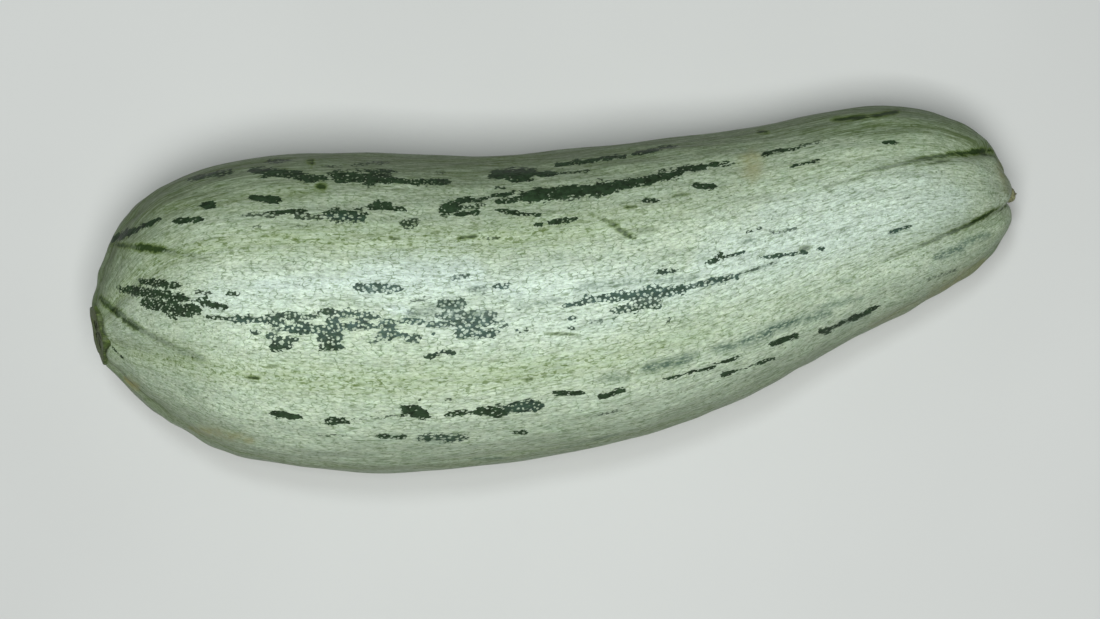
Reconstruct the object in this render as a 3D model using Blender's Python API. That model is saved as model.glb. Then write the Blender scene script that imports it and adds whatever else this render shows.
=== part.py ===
"""A full-grown striped zucchini lying on its side, in three solids: fruit, cut stem and blossom scar.

Metres, +Z up. +X runs along the fruit from the cut stem to the blossom end, and +Y is the side that it
bends towards. The origin is on the surface that the fruit lies on, under the middle of its box.
"""

import math

import bmesh
import bpy
import numpy as np
from mathutils import Matrix, Vector

# The fruit's own line and width, read off the photograph at 3.08 pixels a millimetre. Distances are
# measured along X from the stem pole, and the width takes a square root at both ends to round them.
LENGTH = 0.2974
LINE = (  # distance, sideways offset, height of the middle above the surface
    (0.000, -0.0079, 0.0605),
    (0.020, -0.0029, 0.0552),
    (0.045, -0.0001, 0.0510),
    (0.090, -0.0009, 0.0496),
    (0.130, 0.0001, 0.0476),
    (0.165, 0.0060, 0.0460),
    (0.200, 0.0149, 0.0419),
    (0.230, 0.0249, 0.0384),
    (0.255, 0.0334, 0.0358),
    (0.278, 0.0362, 0.0340),
    (LENGTH, 0.0379, 0.0332),
)
LINE_DEGREE = 8
WIDTHS = (  # distance, half width
    (0.004, 0.0150),
    (0.020, 0.0368),
    (0.050, 0.0488),
    (0.090, 0.0517),
    (0.130, 0.0496),
    (0.170, 0.0474),
    (0.210, 0.0414),
    (0.240, 0.0365),
    (0.262, 0.0329),
    (0.280, 0.0262),
    (0.2925, 0.0155),
)
WIDTH_DEGREE = 10
HEIGHT_SHARE = 0.96  # the fruit grew lying down, so it is a little flatter than wide
REST_DEPTH = 0.0008  # how much of the belly the resting spot flattens

# Lobes between the furrows: soft crests along the body, and furrows that gather at both ends.
LOBES = 7
FIRST_FURROW = math.radians(26.5)
CREST_SHARE = 0.008  # how far a crest stands out, as a share of the half width
FURROW_WIDTH = 0.0024
STEM_FURROW_REACH = 0.0300
BLOSSOM_FURROW_REACH = 0.0450
STEM_FURROWS = (0.0012, 0.0008, 0.0011, 0.0009, 0.0012, 0.0008, 0.0013)
BLOSSOM_FURROWS = (0.0030, 0.0018, 0.0025, 0.0020, 0.0026, 0.0019, 0.0028)
SHOULDER = 0.0150  # the first furrow keeps this far off the middle line where the blossom end narrows
FURTHEST_SWING = math.radians(30)
SWING_SHARES = (1.0, 0.65, 0.35, 0.1, 0.0, 0.0, 0.0)  # how far each furrow swings with the first
FRUIT_SIDES = 84
FRUIT_RINGS = 48

# The cut stem: blunt ribs, and a slightly dished face cut nearly flush with the fruit.
STEM_RADIUS = 0.0092
STEM_RIBS = 5
STEM_RIB_DEPTH = 0.0009
STEM_SUNK = 0.0050
STEM_PROUD = -0.0005  # the face is a little inside the pole of the uncut fruit
STEM_DISH = 0.0006
STEM_SIDES = 40

# The blossom scar: a small dry bead in the pucker where the furrows meet.
SCAR_RADIUS = 0.0026
SCAR_SUNK = 0.0045
SCAR_PROUD = 0.0016
SCAR_SIDES = 16

GAP = 0.0003  # between two pieces that touch
CUTTER_REACH = 0.0200  # how far a cutter runs past the skin

SKIN = ("skin", (0.52, 0.60, 0.44), 0.42)
RIND = ("stem_rind", (0.20, 0.24, 0.09), 0.70)
CORK = ("scar_cork", (0.36, 0.31, 0.20), 0.85)


def smooth_line(distances, values, degree):
    """The smooth line through the values, as a function of the distance along the fruit."""
    return np.polynomial.Polynomial.fit(distances, values, degree)


line_rows = np.array(LINE)
SIDEWAYS = smooth_line(line_rows[:, 0], line_rows[:, 1], LINE_DEGREE)
HEIGHT = smooth_line(line_rows[:, 0], line_rows[:, 2], LINE_DEGREE)
width_rows = np.array(WIDTHS)
ROUNDING = np.sqrt(width_rows[:, 0] * (LENGTH - width_rows[:, 0]))
FULLNESS = smooth_line(width_rows[:, 0], width_rows[:, 1] / ROUNDING, WIDTH_DEGREE)


def half_width(along):
    """Half of the fruit's width at this distance from the stem pole."""
    return float(FULLNESS(along)) * math.sqrt(max(0.0, along * (LENGTH - along)))


def axis_point(along):
    """The middle of the section at this distance from the stem pole."""
    return Vector((along, SIDEWAYS(along), HEIGHT(along) - REST_DEPTH))


def section_axes(along):
    """Unit vectors of the section there: along the fruit, to its +Y side, and up."""
    step = 0.0005
    forward = (axis_point(along + step) - axis_point(along - step)).normalized()
    side = Vector((-forward.y, forward.x, 0)).normalized()
    return forward, side, forward.cross(side)


def body_point(along, azimuth):
    """A point of the body without its furrows. Azimuth 0 is the top, and 90 degrees the +Y side."""
    crest = -CREST_SHARE * math.cos(LOBES * (azimuth - FIRST_FURROW))
    _, side, up = section_axes(along)
    across = math.sin(azimuth) * side + HEIGHT_SHARE * math.cos(azimuth) * up
    return axis_point(along) + half_width(along) * (1 + crest) * across


def swing(along):
    """How far round the first furrow swings where the blossom end narrows."""
    if along < LENGTH / 2:
        return 0.0
    across = min(1.0, SHOULDER / max(half_width(along), 1e-6))
    return max(0.0, min(FURTHEST_SWING, math.asin(across) - FIRST_FURROW))


def swung(along, azimuth):
    """The azimuth moved with the furrows on both sides of it."""
    place = (azimuth - FIRST_FURROW) / (math.tau / LOBES) % LOBES
    number = int(place) % LOBES
    share = place - int(place)
    both = (1 - share) * SWING_SHARES[number] + share * SWING_SHARES[(number + 1) % LOBES]
    return azimuth + both * swing(along)


def furrow_depth(along, azimuth):
    """How deep the furrows are at a point of the body."""
    deepest = 0.0
    for number in range(LOBES):
        middle = FIRST_FURROW + number * math.tau / LOBES + SWING_SHARES[number] * swing(along)
        turn = math.remainder(azimuth - middle, math.tau)
        for depth, reach, from_end in (
            (STEM_FURROWS[number], STEM_FURROW_REACH, along),
            (BLOSSOM_FURROWS[number], BLOSSOM_FURROW_REACH, LENGTH - along),
        ):
            off_line = half_width(along) * turn / (FURROW_WIDTH * (1 + from_end / reach))
            deepest = max(deepest, depth * math.exp(-(off_line**2) - (from_end / reach) ** 2))
    return deepest


def material(name, colour, roughness):
    """A plain material of this colour."""
    made = bpy.data.materials.new(name)
    made.use_nodes = True
    shader = made.node_tree.nodes["Principled BSDF"]
    shader.inputs["Base Color"].default_value = (*colour, 1)
    shader.inputs["Roughness"].default_value = roughness
    shader.inputs["Metallic"].default_value = 0
    return made


def turn_outwards(shape):
    """Points every face of a closed bmesh outwards."""
    shape.normal_update()
    bmesh.ops.recalc_face_normals(shape, faces=shape.faces)
    shape.normal_update()


def add_object(name, shape, collection, finish=None):
    """Makes an object from a bmesh, which is freed."""
    turn_outwards(shape)
    mesh = bpy.data.meshes.new(name)
    shape.to_mesh(mesh)
    shape.free()
    if finish:
        mesh.materials.append(material(*finish))
        mesh.shade_smooth()
        mesh.set_sharp_from_angle(angle=math.radians(40))
    made = bpy.data.objects.new(name, mesh)
    collection.objects.link(made)
    return made


def fruit_shape():
    """The fruit from a sphere: every ring is laid on a section of the body, then furrows are pressed in."""
    shape = bmesh.new()
    bmesh.ops.create_uvsphere(shape, u_segments=FRUIT_SIDES, v_segments=FRUIT_RINGS, radius=1)
    places = {}
    for vertex in shape.verts:
        along = LENGTH * (1 - max(-1.0, min(1.0, vertex.co.z))) / 2
        azimuth = swung(along, math.atan2(vertex.co.y, vertex.co.x) + FIRST_FURROW)
        places[vertex] = (along, azimuth)
        vertex.co = body_point(along, azimuth)
    turn_outwards(shape)
    moves = {vertex: vertex.normal * furrow_depth(*place) for vertex, place in places.items()}
    for vertex, move in moves.items():
        vertex.co -= move
    return shape


def stem_shape(grow, bottom, top, dish):
    """The cut stem as a ribbed disc along +Z, with its face dished, or grown all round as its own cutter."""
    shape = bmesh.new()
    bmesh.ops.create_circle(shape, cap_ends=True, segments=STEM_SIDES, radius=1)
    for vertex in shape.verts:
        angle = math.atan2(vertex.co.y, vertex.co.x)
        reach = STEM_RADIUS + STEM_RIB_DEPTH * math.cos(STEM_RIBS * angle) + grow
        vertex.co = Vector((vertex.co.x * reach, vertex.co.y * reach, bottom))
    raised = bmesh.ops.extrude_face_region(shape, geom=shape.faces[:])["geom"]
    rim = [item for item in raised if isinstance(item, bmesh.types.BMVert)]
    bmesh.ops.translate(shape, verts=rim, vec=(0, 0, top - bottom))
    if dish:
        face = next(item for item in raised if isinstance(item, bmesh.types.BMFace))
        turn_outwards(shape)
        bmesh.ops.inset_individual(shape, faces=[face], thickness=0.2 * STEM_RADIUS, depth=0)
        bmesh.ops.inset_individual(shape, faces=[face], thickness=0.4 * STEM_RADIUS, depth=-dish)
    return shape


def scar_shape():
    """The blossom scar as a blunt bead along +Z, on a round root with a flat bottom."""
    shape = bmesh.new()
    rings = SCAR_SIDES // 2
    bmesh.ops.create_uvsphere(shape, u_segments=SCAR_SIDES, v_segments=rings, radius=SCAR_RADIUS)
    below = [vertex for vertex in shape.verts if vertex.co.z < -SCAR_RADIUS / 100]
    bmesh.ops.delete(shape, geom=below, context="VERTS")
    rim = [edge for edge in shape.edges if edge.is_boundary]
    raised = bmesh.ops.extrude_edge_only(shape, edges=rim)["geom"]
    foot = [item for item in raised if isinstance(item, bmesh.types.BMVert)]
    bmesh.ops.translate(shape, verts=shape.verts, vec=(0, 0, SCAR_PROUD - SCAR_RADIUS))
    for vertex in foot:
        vertex.co.z = -SCAR_SUNK
    bmesh.ops.contextual_create(shape, geom=[edge for edge in shape.edges if edge.is_boundary])
    return shape


def round_cutter(radius, bottom, top):
    """A plain round cutter along +Z."""
    shape = bmesh.new()
    middle = Matrix.Translation((0, 0, (bottom + top) / 2))
    bmesh.ops.create_cone(
        shape,
        cap_ends=True,
        segments=SCAR_SIDES,
        radius1=radius,
        radius2=radius,
        depth=top - bottom,
        matrix=middle,
    )
    return shape


def ground_cutter():
    """A block whose top face is the surface that the fruit lies on."""
    shape = bmesh.new()
    bmesh.ops.create_cube(shape, size=2 * LENGTH, matrix=Matrix.Translation((LENGTH / 2, 0, -LENGTH)))
    return shape


def pole_matrix(along, outwards):
    """A matrix that stands +Z on a pole of the fruit. outwards is -1 at the stem and 1 at the blossom."""
    forward, _, _ = section_axes(along)
    turned = (outwards * forward).to_track_quat("Z", "Y").to_matrix().to_4x4()
    return Matrix.Translation(axis_point(along)) @ turned


def cut(target, cutter):
    """Cuts a hidden object out of a visible one."""
    cutter.hide_render = True
    cutter.display_type = "WIRE"
    modifier = target.modifiers.new(cutter.name, "BOOLEAN")
    modifier.operation = "DIFFERENCE"
    modifier.solver = "EXACT"
    modifier.object = cutter


def stand_on_origin(shown, helpers):
    """Moves everything so that the origin is under the middle of the visible box, on the surface."""
    bpy.context.view_layer.update()
    graph = bpy.context.evaluated_depsgraph_get()
    points = [
        item.matrix_world @ vertex.co
        for item in shown
        for vertex in item.evaluated_get(graph).data.vertices
    ]
    middle = [
        (min(point[axis] for point in points) + max(point[axis] for point in points)) / 2
        for axis in range(2)
    ]
    for item in (*shown, *helpers):
        item.location -= Vector((*middle, 0))


def main():
    """Builds the three solids and the cutters that seat them."""
    for old in list(bpy.data.objects):
        bpy.data.objects.remove(old)
    parts = bpy.data.collections.new("zucchini")
    cutters = bpy.data.collections.new("cutters")
    for collection in (parts, cutters):
        bpy.context.scene.collection.children.link(collection)

    fruit = add_object("fruit", fruit_shape(), parts, SKIN)
    stem = add_object("cut_stem", stem_shape(0, -STEM_SUNK, STEM_PROUD, STEM_DISH), parts, RIND)
    scar = add_object("blossom_scar", scar_shape(), parts, CORK)
    ground = add_object("ground_block", ground_cutter(), cutters)
    socket = add_object("stem_socket", stem_shape(GAP, -STEM_SUNK - GAP, CUTTER_REACH, 0), cutters)
    pit = add_object("scar_pit", round_cutter(SCAR_RADIUS + GAP, -SCAR_SUNK - GAP, CUTTER_REACH), cutters)

    for item in (stem, socket):
        item.matrix_world = pole_matrix(0, -1)
    for item in (scar, pit):
        item.matrix_world = pole_matrix(LENGTH, 1)
    for cutter in (ground, socket, pit):
        cut(fruit, cutter)
    stand_on_origin((fruit, stem, scar), (ground, socket, pit))


if __name__ == "__main__":
    main()
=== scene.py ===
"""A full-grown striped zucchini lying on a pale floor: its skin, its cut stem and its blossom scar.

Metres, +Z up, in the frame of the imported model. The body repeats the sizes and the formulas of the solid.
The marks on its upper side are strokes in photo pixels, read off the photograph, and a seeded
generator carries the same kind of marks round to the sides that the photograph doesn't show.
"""

from __future__ import annotations

import logging
import math
from dataclasses import dataclass
from enum import Enum

import bmesh
import bpy
import numpy as np
from mathutils import Matrix, Vector

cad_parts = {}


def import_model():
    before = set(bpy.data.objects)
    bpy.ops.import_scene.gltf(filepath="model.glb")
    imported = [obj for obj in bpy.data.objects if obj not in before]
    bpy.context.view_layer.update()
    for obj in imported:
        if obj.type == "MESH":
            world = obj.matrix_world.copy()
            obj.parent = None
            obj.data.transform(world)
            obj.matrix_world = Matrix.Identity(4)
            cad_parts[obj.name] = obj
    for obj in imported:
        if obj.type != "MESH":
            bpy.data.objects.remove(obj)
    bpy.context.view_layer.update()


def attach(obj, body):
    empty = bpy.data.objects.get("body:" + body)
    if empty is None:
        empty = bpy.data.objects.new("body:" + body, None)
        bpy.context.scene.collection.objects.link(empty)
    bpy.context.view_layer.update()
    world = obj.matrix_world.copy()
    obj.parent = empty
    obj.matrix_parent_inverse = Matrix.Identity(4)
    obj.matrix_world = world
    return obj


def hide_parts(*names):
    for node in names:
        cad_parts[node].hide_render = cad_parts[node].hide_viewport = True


LOG = logging.getLogger("zucchini")
TAU = math.tau
MM = 0.001

MEAN_RADIUS = 0.05  # of the body, where patterns are laid round it
MAP_RUN = 0.36  # metres of skin from pole to pole that fill the flat map
MAP_ROUND = TAU * MEAN_RADIUS  # metres round the body that fill it

Colour = tuple[float, float, float]
Strokes = tuple[tuple[float, ...], ...]

# The line of the body: distance from the stem pole, sideways offset, height of the middle
LINE = (
    (0.000, -0.0079, 0.0605),
    (0.020, -0.0029, 0.0552),
    (0.045, -0.0001, 0.0510),
    (0.090, -0.0009, 0.0496),
    (0.130, 0.0001, 0.0476),
    (0.165, 0.0060, 0.0460),
    (0.200, 0.0149, 0.0419),
    (0.230, 0.0249, 0.0384),
    (0.255, 0.0334, 0.0358),
    (0.278, 0.0362, 0.0340),
    (0.2974, 0.0379, 0.0332),
)
# Its half width: distance from the stem pole, half width
WIDTHS = (
    (0.004, 0.0150),
    (0.020, 0.0368),
    (0.050, 0.0488),
    (0.090, 0.0517),
    (0.130, 0.0496),
    (0.170, 0.0474),
    (0.210, 0.0414),
    (0.240, 0.0365),
    (0.262, 0.0329),
    (0.280, 0.0262),
    (0.2925, 0.0155),
)
# How deep each furrow is at the stem and at the blossom
STEM_FURROWS = (0.0012, 0.0008, 0.0011, 0.0009, 0.0012, 0.0008, 0.0013)
BLOSSOM_FURROWS = (0.0030, 0.0018, 0.0025, 0.0020, 0.0026, 0.0019, 0.0028)
# How far each furrow swings round where the blossom end narrows, as a share of the first one's way
SWING_SHARES = (1.0, 0.65, 0.35, 0.1, 0.0, 0.0, 0.0)

# Strokes in photo pixels: start x, start y, end x, end y, half width, strength from 0 to about 1. The first
# tables, up to BLOSSOM_END_MARKS, hold the dark marks.
TOP_EDGE_MARKS = (
    (188, 179, 235, 171, 2.5, 0.6), (265, 162, 292, 160, 2, 0.5), (250, 171, 302, 175, 4, 0.9),
    (294, 177, 328, 179, 3.5, 0.9), (330, 175, 396, 180, 6, 0.9), (365, 171.5, 397, 171.5, 2.5, 0.8),
    (395, 181.5, 451, 182, 3, 0.85), (321, 167, 344, 166.5, 1.3, 0.4), (351, 165, 390, 162.5, 1.5, 0.35),
    (422, 174, 447, 173, 1.3, 0.35), (489, 175.5, 537, 172, 5.6, 1), (510, 180, 533, 179, 2.6, 0.9),
    (537, 175, 557, 174, 3, 0.9), (544, 174, 591, 171, 1.5, 0.6), (555, 166, 577, 162, 2.6, 0.95),
    (574, 162.5, 601, 159, 2.3, 0.95), (598, 159, 627, 156, 2.1, 0.9), (632, 154, 659, 150, 2.4, 0.9),
    (658, 148, 677, 146, 1.5, 0.6), (493, 188, 507, 186.5, 1.5, 0.7), (759, 155, 798, 148, 2.2, 0.9),
    (798, 146, 822, 141, 1.5, 0.6), (790, 167, 820, 160, 1.8, 0.8), (882, 142, 900, 142.5, 1.8, 0.85),
)
UPPER_ROW_MARKS = (
    (198, 206, 217, 205, 3, 1), (172, 221.5, 203, 219, 3, 1), (248, 197.5, 281, 200, 3.5, 1),
    (242, 215.5, 282, 214, 2.5, 0.6), (267, 213, 307, 211, 2.5, 0.9), (294, 216.5, 326, 217.5, 3, 0.65),
    (327, 214, 366, 216, 6, 0.8), (365, 206, 407, 210.5, 3, 0.85), (372, 204, 391, 204.5, 3, 0.9),
    (329, 198, 331, 198, 2, 0.4), (402, 224, 420, 222, 5, 0.7), (249, 227, 260, 227, 2, 0.5),
    (297, 226, 308, 226, 1.5, 0.45),
    (533, 225, 543, 225, 1.8, 0.8), (548, 222, 577, 219, 3, 0.85), (480, 239.5, 501, 238, 1.3, 0.55),
    (642, 201, 660, 201, 2, 0.85), (692, 186, 716, 185.5, 3.4, 1), (715, 198, 725, 198, 1, 0.4),
)
LONG_STREAK_MARKS = (
    (441, 209, 460, 206, 7, 0.89), (455, 200, 483, 200, 2.8, 0.9), (452, 214, 479, 213, 2.6, 0.85),
    (462, 208, 487, 204, 2, 0.7), (483, 199, 515, 192, 1.8, 0.85), (496, 202, 530, 198, 3, 0.85),
    (519, 197, 563, 193, 7.2, 1.04), (557, 192, 588, 191, 6.2, 1.04), (582, 190, 612, 187, 6.4, 1.04),
    (606, 186, 636, 183.5, 5.2, 1.02), (628, 182.5, 656, 179, 4.3, 1), (650, 178, 682, 173, 5.2, 1.04),
    (676, 170, 708, 166, 3.1, 1),
    (709, 164.5, 735, 164, 2.5, 1), (495, 210, 520, 213, 2.4, 0.8), (518, 214, 542, 215, 1.6, 0.8),
    (560, 199, 600, 196, 2, 0.6),
)
STEM_END_MARKS = (
    (110, 241, 137, 229, 3.4, 1), (137, 229, 160, 219, 2.4, 1), (138, 280, 182, 287, 3.5, 0.84),
    (119, 288, 188, 299, 4.8, 0.88), (141, 302, 201, 312, 6, 0.88), (163, 311, 177, 320, 1.2, 0.74),
    (194, 292, 213, 292.5, 2, 0.65),
    (226, 294, 240, 294, 2.2, 0.74), (196, 300, 229, 308, 3.5, 0.79), (206, 317, 245, 321, 2.2, 0.74),
    # the second stroke on the next line is painted shadow, in a furrow next to the stem
    (241, 321, 272, 319, 3, 0.84), (108, 343, 124, 359, 1, 0.74),
)
CENTRE_LEFT_MARKS = (
    (228, 318.5, 268, 321, 4.2, 0.79), (268, 316, 301, 316, 4.2, 0.75), (268, 320, 284, 324, 4.6, 0.75),
    (280, 329, 341, 329, 4.8, 0.79), (296, 325, 318, 327, 3, 0.75), (297, 317, 316, 316, 2.6, 0.71),
    (319, 313, 354, 313, 4.5, 0.75), (331, 316, 334, 330, 7.1, 0.79), (336, 326, 378, 326, 3.8, 0.79),
    (355, 316, 377, 317, 6.1, 0.75), (319, 336, 341, 337, 6.1, 0.81), (319, 346, 342, 346, 4.2, 0.79),
    (378, 325, 397, 326, 6.6, 0.75), (379, 335, 395, 336, 7.1, 0.78), (266, 336, 284, 340, 4, 0.75),
    (270, 346, 291, 346, 4.6, 0.81), (284, 340, 297, 341, 4, 0.75), (252, 332, 260, 332.5, 3.6, 0.75),
    (272, 332, 281, 331, 2.6, 0.54), (369, 341, 375, 343, 2.4, 0.62), (351, 287, 403, 288, 4, 0.73),
    (356, 290, 392, 291, 2.8, 0.71), (411, 300, 434, 300, 2, 0.54), (397, 335, 411, 336, 3, 0.75),
    (408, 338, 421, 338, 4.8, 0.73), (400, 320, 424, 322, 3.2, 0.75), (408, 313, 436, 310, 5.1, 0.49),
    (428, 325, 448, 324, 3.4, 0.71), (438, 306, 464, 303, 6.1, 0.69), (437, 315, 470, 316, 5.6, 0.67),
    (452, 324, 494, 322, 7.1, 0.73), (456, 333, 497, 333, 4.2, 0.75), (470, 313, 496, 315, 4.6, 0.62),
    (497, 323, 508, 326, 2.6, 0.67), (514, 331, 529, 331, 2.6, 0.75), (430, 334, 434, 334, 2.4, 0.75),
    (424, 355.4, 432, 357, 2.3, 0.79), (432, 356, 443, 351.5, 2.1, 0.79), (443, 351.5, 455, 353, 2.2, 0.79),
    (449, 278, 470, 275.5, 3.2, 0.67), (470, 291, 486, 289, 4, 0.49), (495, 287, 509, 287, 2.7, 0.79),
    (512, 281, 516, 281, 2.1, 0.36), (518, 309, 524, 309, 2.6, 0.54),
)
CENTRE_RIGHT_MARKS = (
    (562, 306, 590, 301, 2.2, 0.84), (582, 299, 626, 297, 3.8, 0.79), (610, 296, 690, 289, 5.2, 0.79),
    (610, 311, 661, 304, 4.2, 0.74), (654, 272, 678, 270, 3, 0.74), (688, 286, 716, 280, 3, 0.74),
    (708, 280, 738, 276, 2.5, 0.79), (727, 277, 741, 278, 2.6, 0.84), (633, 302, 668, 297, 3, 0.65),
    (716, 284, 725, 284, 1.5, 0.65), (740, 274, 779, 261, 1.2, 0.56), (705, 263, 727, 257, 2.3, 0.79),
    (717, 255, 721, 255, 3.5, 0.84), (731, 255, 747, 252.5, 1.8, 0.84), (760, 258, 807, 251.5, 2.2, 0.84),
    (815, 249, 825, 249, 1.5, 0.79), (745, 233, 754, 231, 1.7, 0.79), (758, 228, 762, 228, 1.5, 0.79),
    (769, 230, 780, 233, 1.6, 0.56), (780, 233, 796, 228, 1.6, 0.56),
    (888, 233, 911, 226, 1.7, 0.84), (900, 200, 912, 196, 1.5, 0.47), (568, 319, 577, 319, 3, 0.74),
    (568, 328, 575, 328, 2, 0.74), (588, 321, 602, 321, 3, 0.56), (610, 318, 619, 318, 2, 0.56),
    (665, 325, 671, 317, 1.2, 0.65), (836, 282, 850, 280, 1.5, 0.28),
)
LOWER_ROW_MARKS = (
    (270, 413.5, 303, 417.5, 3, 1), (323, 421, 349, 422, 3.5, 0.85), (351, 419, 387, 418, 1.5, 0.55),
    (387, 416, 400, 416, 1.2, 0.6), (403, 409, 428, 415, 5.5, 1), (445, 415, 472, 412, 3, 0.8),
    (476, 412, 515, 410, 5, 0.95), (508, 408, 541, 405, 6.6, 0.92), (552, 393, 585, 393, 2.7, 0.95),
    (599, 397, 627, 389.5, 3, 0.95),
    (662, 380, 680, 376, 2, 0.95), (684, 374, 714, 367, 1.4, 0.9), (710, 366, 741, 357, 1.6, 0.9),
    (719, 376, 735, 371, 2.2, 0.95), (735, 371, 758, 364, 1, 0.8), (758, 363, 776, 358, 1.5, 0.9),
    (769, 345, 800, 334, 2.8, 0.97), (819, 331, 831, 331, 3, 0.97), (825, 330, 852, 319, 2.1, 0.95),
    (848, 321, 879, 306, 2.3, 0.95), (203, 397, 211, 397, 1.2, 0.5), (418, 400, 422, 400, 1.5, 0.6),
    (443, 399, 453, 399, 1.5, 0.6), (577, 411, 585, 411, 1, 0.6), (598, 415, 621, 410.5, 1.2, 0.5),
)
LOWEST_ROW_MARKS = (
    (316, 435, 345, 436, 1.5, 0.5), (375, 436, 407, 437, 2.5, 0.75), (418, 437, 468, 438, 3.6, 0.7),
    (512, 432.5, 527, 432, 2, 0.8),
)
BLOSSOM_END_MARKS = (
    (926, 280, 957, 269, 1.5, 0.4),
)
MOSS_MARKS = (
    (110, 244, 176, 252, 2.6, 0.7), (134, 246.5, 168, 250.5, 3.8, 1), (160, 251, 206, 258, 3.2, 0.35),
    (98, 296, 146, 333, 2.8, 0.7), (101, 300, 121, 316, 3.2, 0.9), (122, 318, 141, 330, 3.6, 0.95),
    (138, 329, 178, 349, 3.4, 0.5), (166, 344, 206, 360, 4, 0.35), (97, 312, 106, 338, 2.5, 0.6),
    (822, 188, 870, 175, 1.6, 0.4),
    (862, 172, 926, 159, 1.9, 0.5), (914, 160, 955, 154, 2.2, 0.76), (944, 155, 998, 149.5, 3, 1),
    (915, 167, 950, 160, 1.4, 0.6), (880, 262, 922, 245, 2.2, 0.35), (918, 246, 952, 233, 2.4, 0.55),
    (944, 236, 978, 221, 2.3, 0.8), (970, 224, 1008, 204, 2.2, 1),
    (316, 187, 325, 187, 4.5, 1), (311, 158, 311, 166, 3.5, 0.94), (389, 238, 399, 240, 2, 0.68),
    (265, 366, 280, 366, 1.5, 0.81), (192, 357, 194, 357, 2.5, 1), (245, 378, 260, 378, 1.7, 0.94),
    (355, 389.5, 357, 389.5, 1.7, 0.94), (523, 380, 533, 379, 1.5, 0.81), (628, 372, 630, 372, 2.5, 0.94),
    (467, 391, 469, 391, 2, 0.94), (757, 132, 769, 132, 2, 0.8), (457, 238.5, 478, 236, 2, 0.94),
    (624, 207, 637, 207, 1.8, 0.94), (671, 197, 692, 194, 1.5, 0.68), (543, 334, 577, 334, 1.5, 0.81),
    (800, 249, 812, 247, 2.5, 0.68), (589, 213, 612, 224, 1.3, 0.7), (609, 222, 628, 236, 3, 0.82),
    (626, 235, 638, 239, 1.7, 0.94), (629, 230, 660, 230, 3, 0.41), (831, 120, 869, 117, 2.5, 0.94),
    (869, 117, 900, 111, 2.5, 0.94),
)
STAIN_MARKS = (
    (752, 152, 752, 180, 11, 0.55), (125, 378, 138, 389, 5, 0.8), (190, 428, 253, 441, 5, 0.6),
    (999, 162, 1007, 192, 6, 0.5), (928, 299, 988, 260, 6, 0.55), (870, 326, 930, 298, 4, 0.35),
)
# Painted shade: patches darkened where less light falls, such as lobes that turn away and the low side by
# the stem
PAINTED_SHADE_MARKS = (
    (800, 132, 950, 124, 16, 0.9), (940, 128, 990, 148, 11, 0.9), (640, 150, 800, 134, 9, 0.55),
    (1001, 160, 1008, 194, 6, 0.6), (905, 160, 990, 146, 6, 0.5), (960, 236, 1004, 214, 6, 0.45),
    (925, 285, 995, 235, 12, 0.4), (112, 366, 185, 422, 13, 0.6), (160, 400, 240, 438, 10, 0.45),
)
SMUDGE_MARKS = (
    (643, 369, 691, 359, 5, 0.75), (655, 363, 700, 353, 3, 0.5), (598, 380, 630, 376, 5, 0.4),
    (713, 349, 735, 346, 4, 0.7), (739, 343, 772, 333, 5, 0.75), (765, 331, 793, 322, 4, 0.85),
    (788, 323, 832, 312, 4.5, 0.65), (815, 309, 863, 298, 3, 0.5), (840, 323, 868, 315, 3, 0.5),
    (935, 258, 966, 246, 5, 0.7), (960, 244, 990, 234, 4, 0.6), (888, 234, 912, 226, 3, 0.4),
    (573, 289, 647, 280, 4, 0.45), (652, 281, 700, 277, 3, 0.5), (522, 307, 562, 299, 2.5, 0.45),
    (739, 242, 757, 240, 2.5, 0.6), (740, 273, 779, 262, 2, 0.5), (472, 459, 506, 458, 1.2, 0.6),
    (558, 449, 619, 434, 1.3, 0.45), (416, 439, 450, 440, 5, 0.4), (438, 304, 464, 303, 6, 0.5),
    (409, 314, 436, 310, 6, 0.4), (442, 317, 495, 316, 6, 0.35), (513, 307, 530, 306, 4, 0.4),
    (470, 290, 487, 289, 5, 0.4), (375, 437, 408, 437, 3.5, 0.35), (836, 282, 850, 280, 2, 0.4),
)
DARK_MARKS = (
    *TOP_EDGE_MARKS, *UPPER_ROW_MARKS, *LONG_STREAK_MARKS, *STEM_END_MARKS, *CENTRE_LEFT_MARKS,
    *CENTRE_RIGHT_MARKS, *LOWER_ROW_MARKS, *LOWEST_ROW_MARKS, *BLOSSOM_END_MARKS,
)
# Painted highlight: where a bluish-white sheen lightens the skin along its top
PAINTED_HIGHLIGHT_MARKS = (
    (350, 281, 480, 274, 26, 1.0), (200, 300, 350, 284, 22, 0.6), (480, 288, 700, 288, 24, 0.7),
    (700, 270, 960, 200, 36, 0.75), (420, 320, 620, 318, 26, 0.5), (760, 215, 930, 180, 20, 0.6),
    (470, 283, 525, 293, 7, 1.0), (385, 307, 412, 312, 6, 1.0), (255, 286, 345, 283, 12, 0.9),
)
# Painted sheen: where the highlight turns the dark marks bluish grey and breaks them up
PAINTED_SHEEN_MARKS = (
    (228, 325, 330, 330, 16, 0.6), (330, 325, 520, 322, 24, 0.9), (560, 306, 740, 278, 18, 0.75),
    (351, 287, 403, 290, 10, 1.0), (440, 282, 510, 285, 12, 0.9), (560, 320, 620, 318, 10, 0.7),
    (740, 250, 900, 230, 20, 0.6), (505, 408, 545, 404, 9, 0.35), (418, 437, 470, 438, 7, 0.35),
    (327, 216, 366, 219, 6, 0.3),
)
# Where the skin is greener
BAND_MARKS = (
    (110, 250, 330, 240, 14, 0.75), (330, 240, 500, 238, 12, 0.5), (140, 350, 260, 372, 16, 0.6),
    (240, 378, 460, 384, 15, 0.8), (460, 384, 680, 366, 13, 0.6), (140, 212, 330, 188, 9, 0.7),
    (480, 225, 700, 205, 9, 0.4),
)


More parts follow.
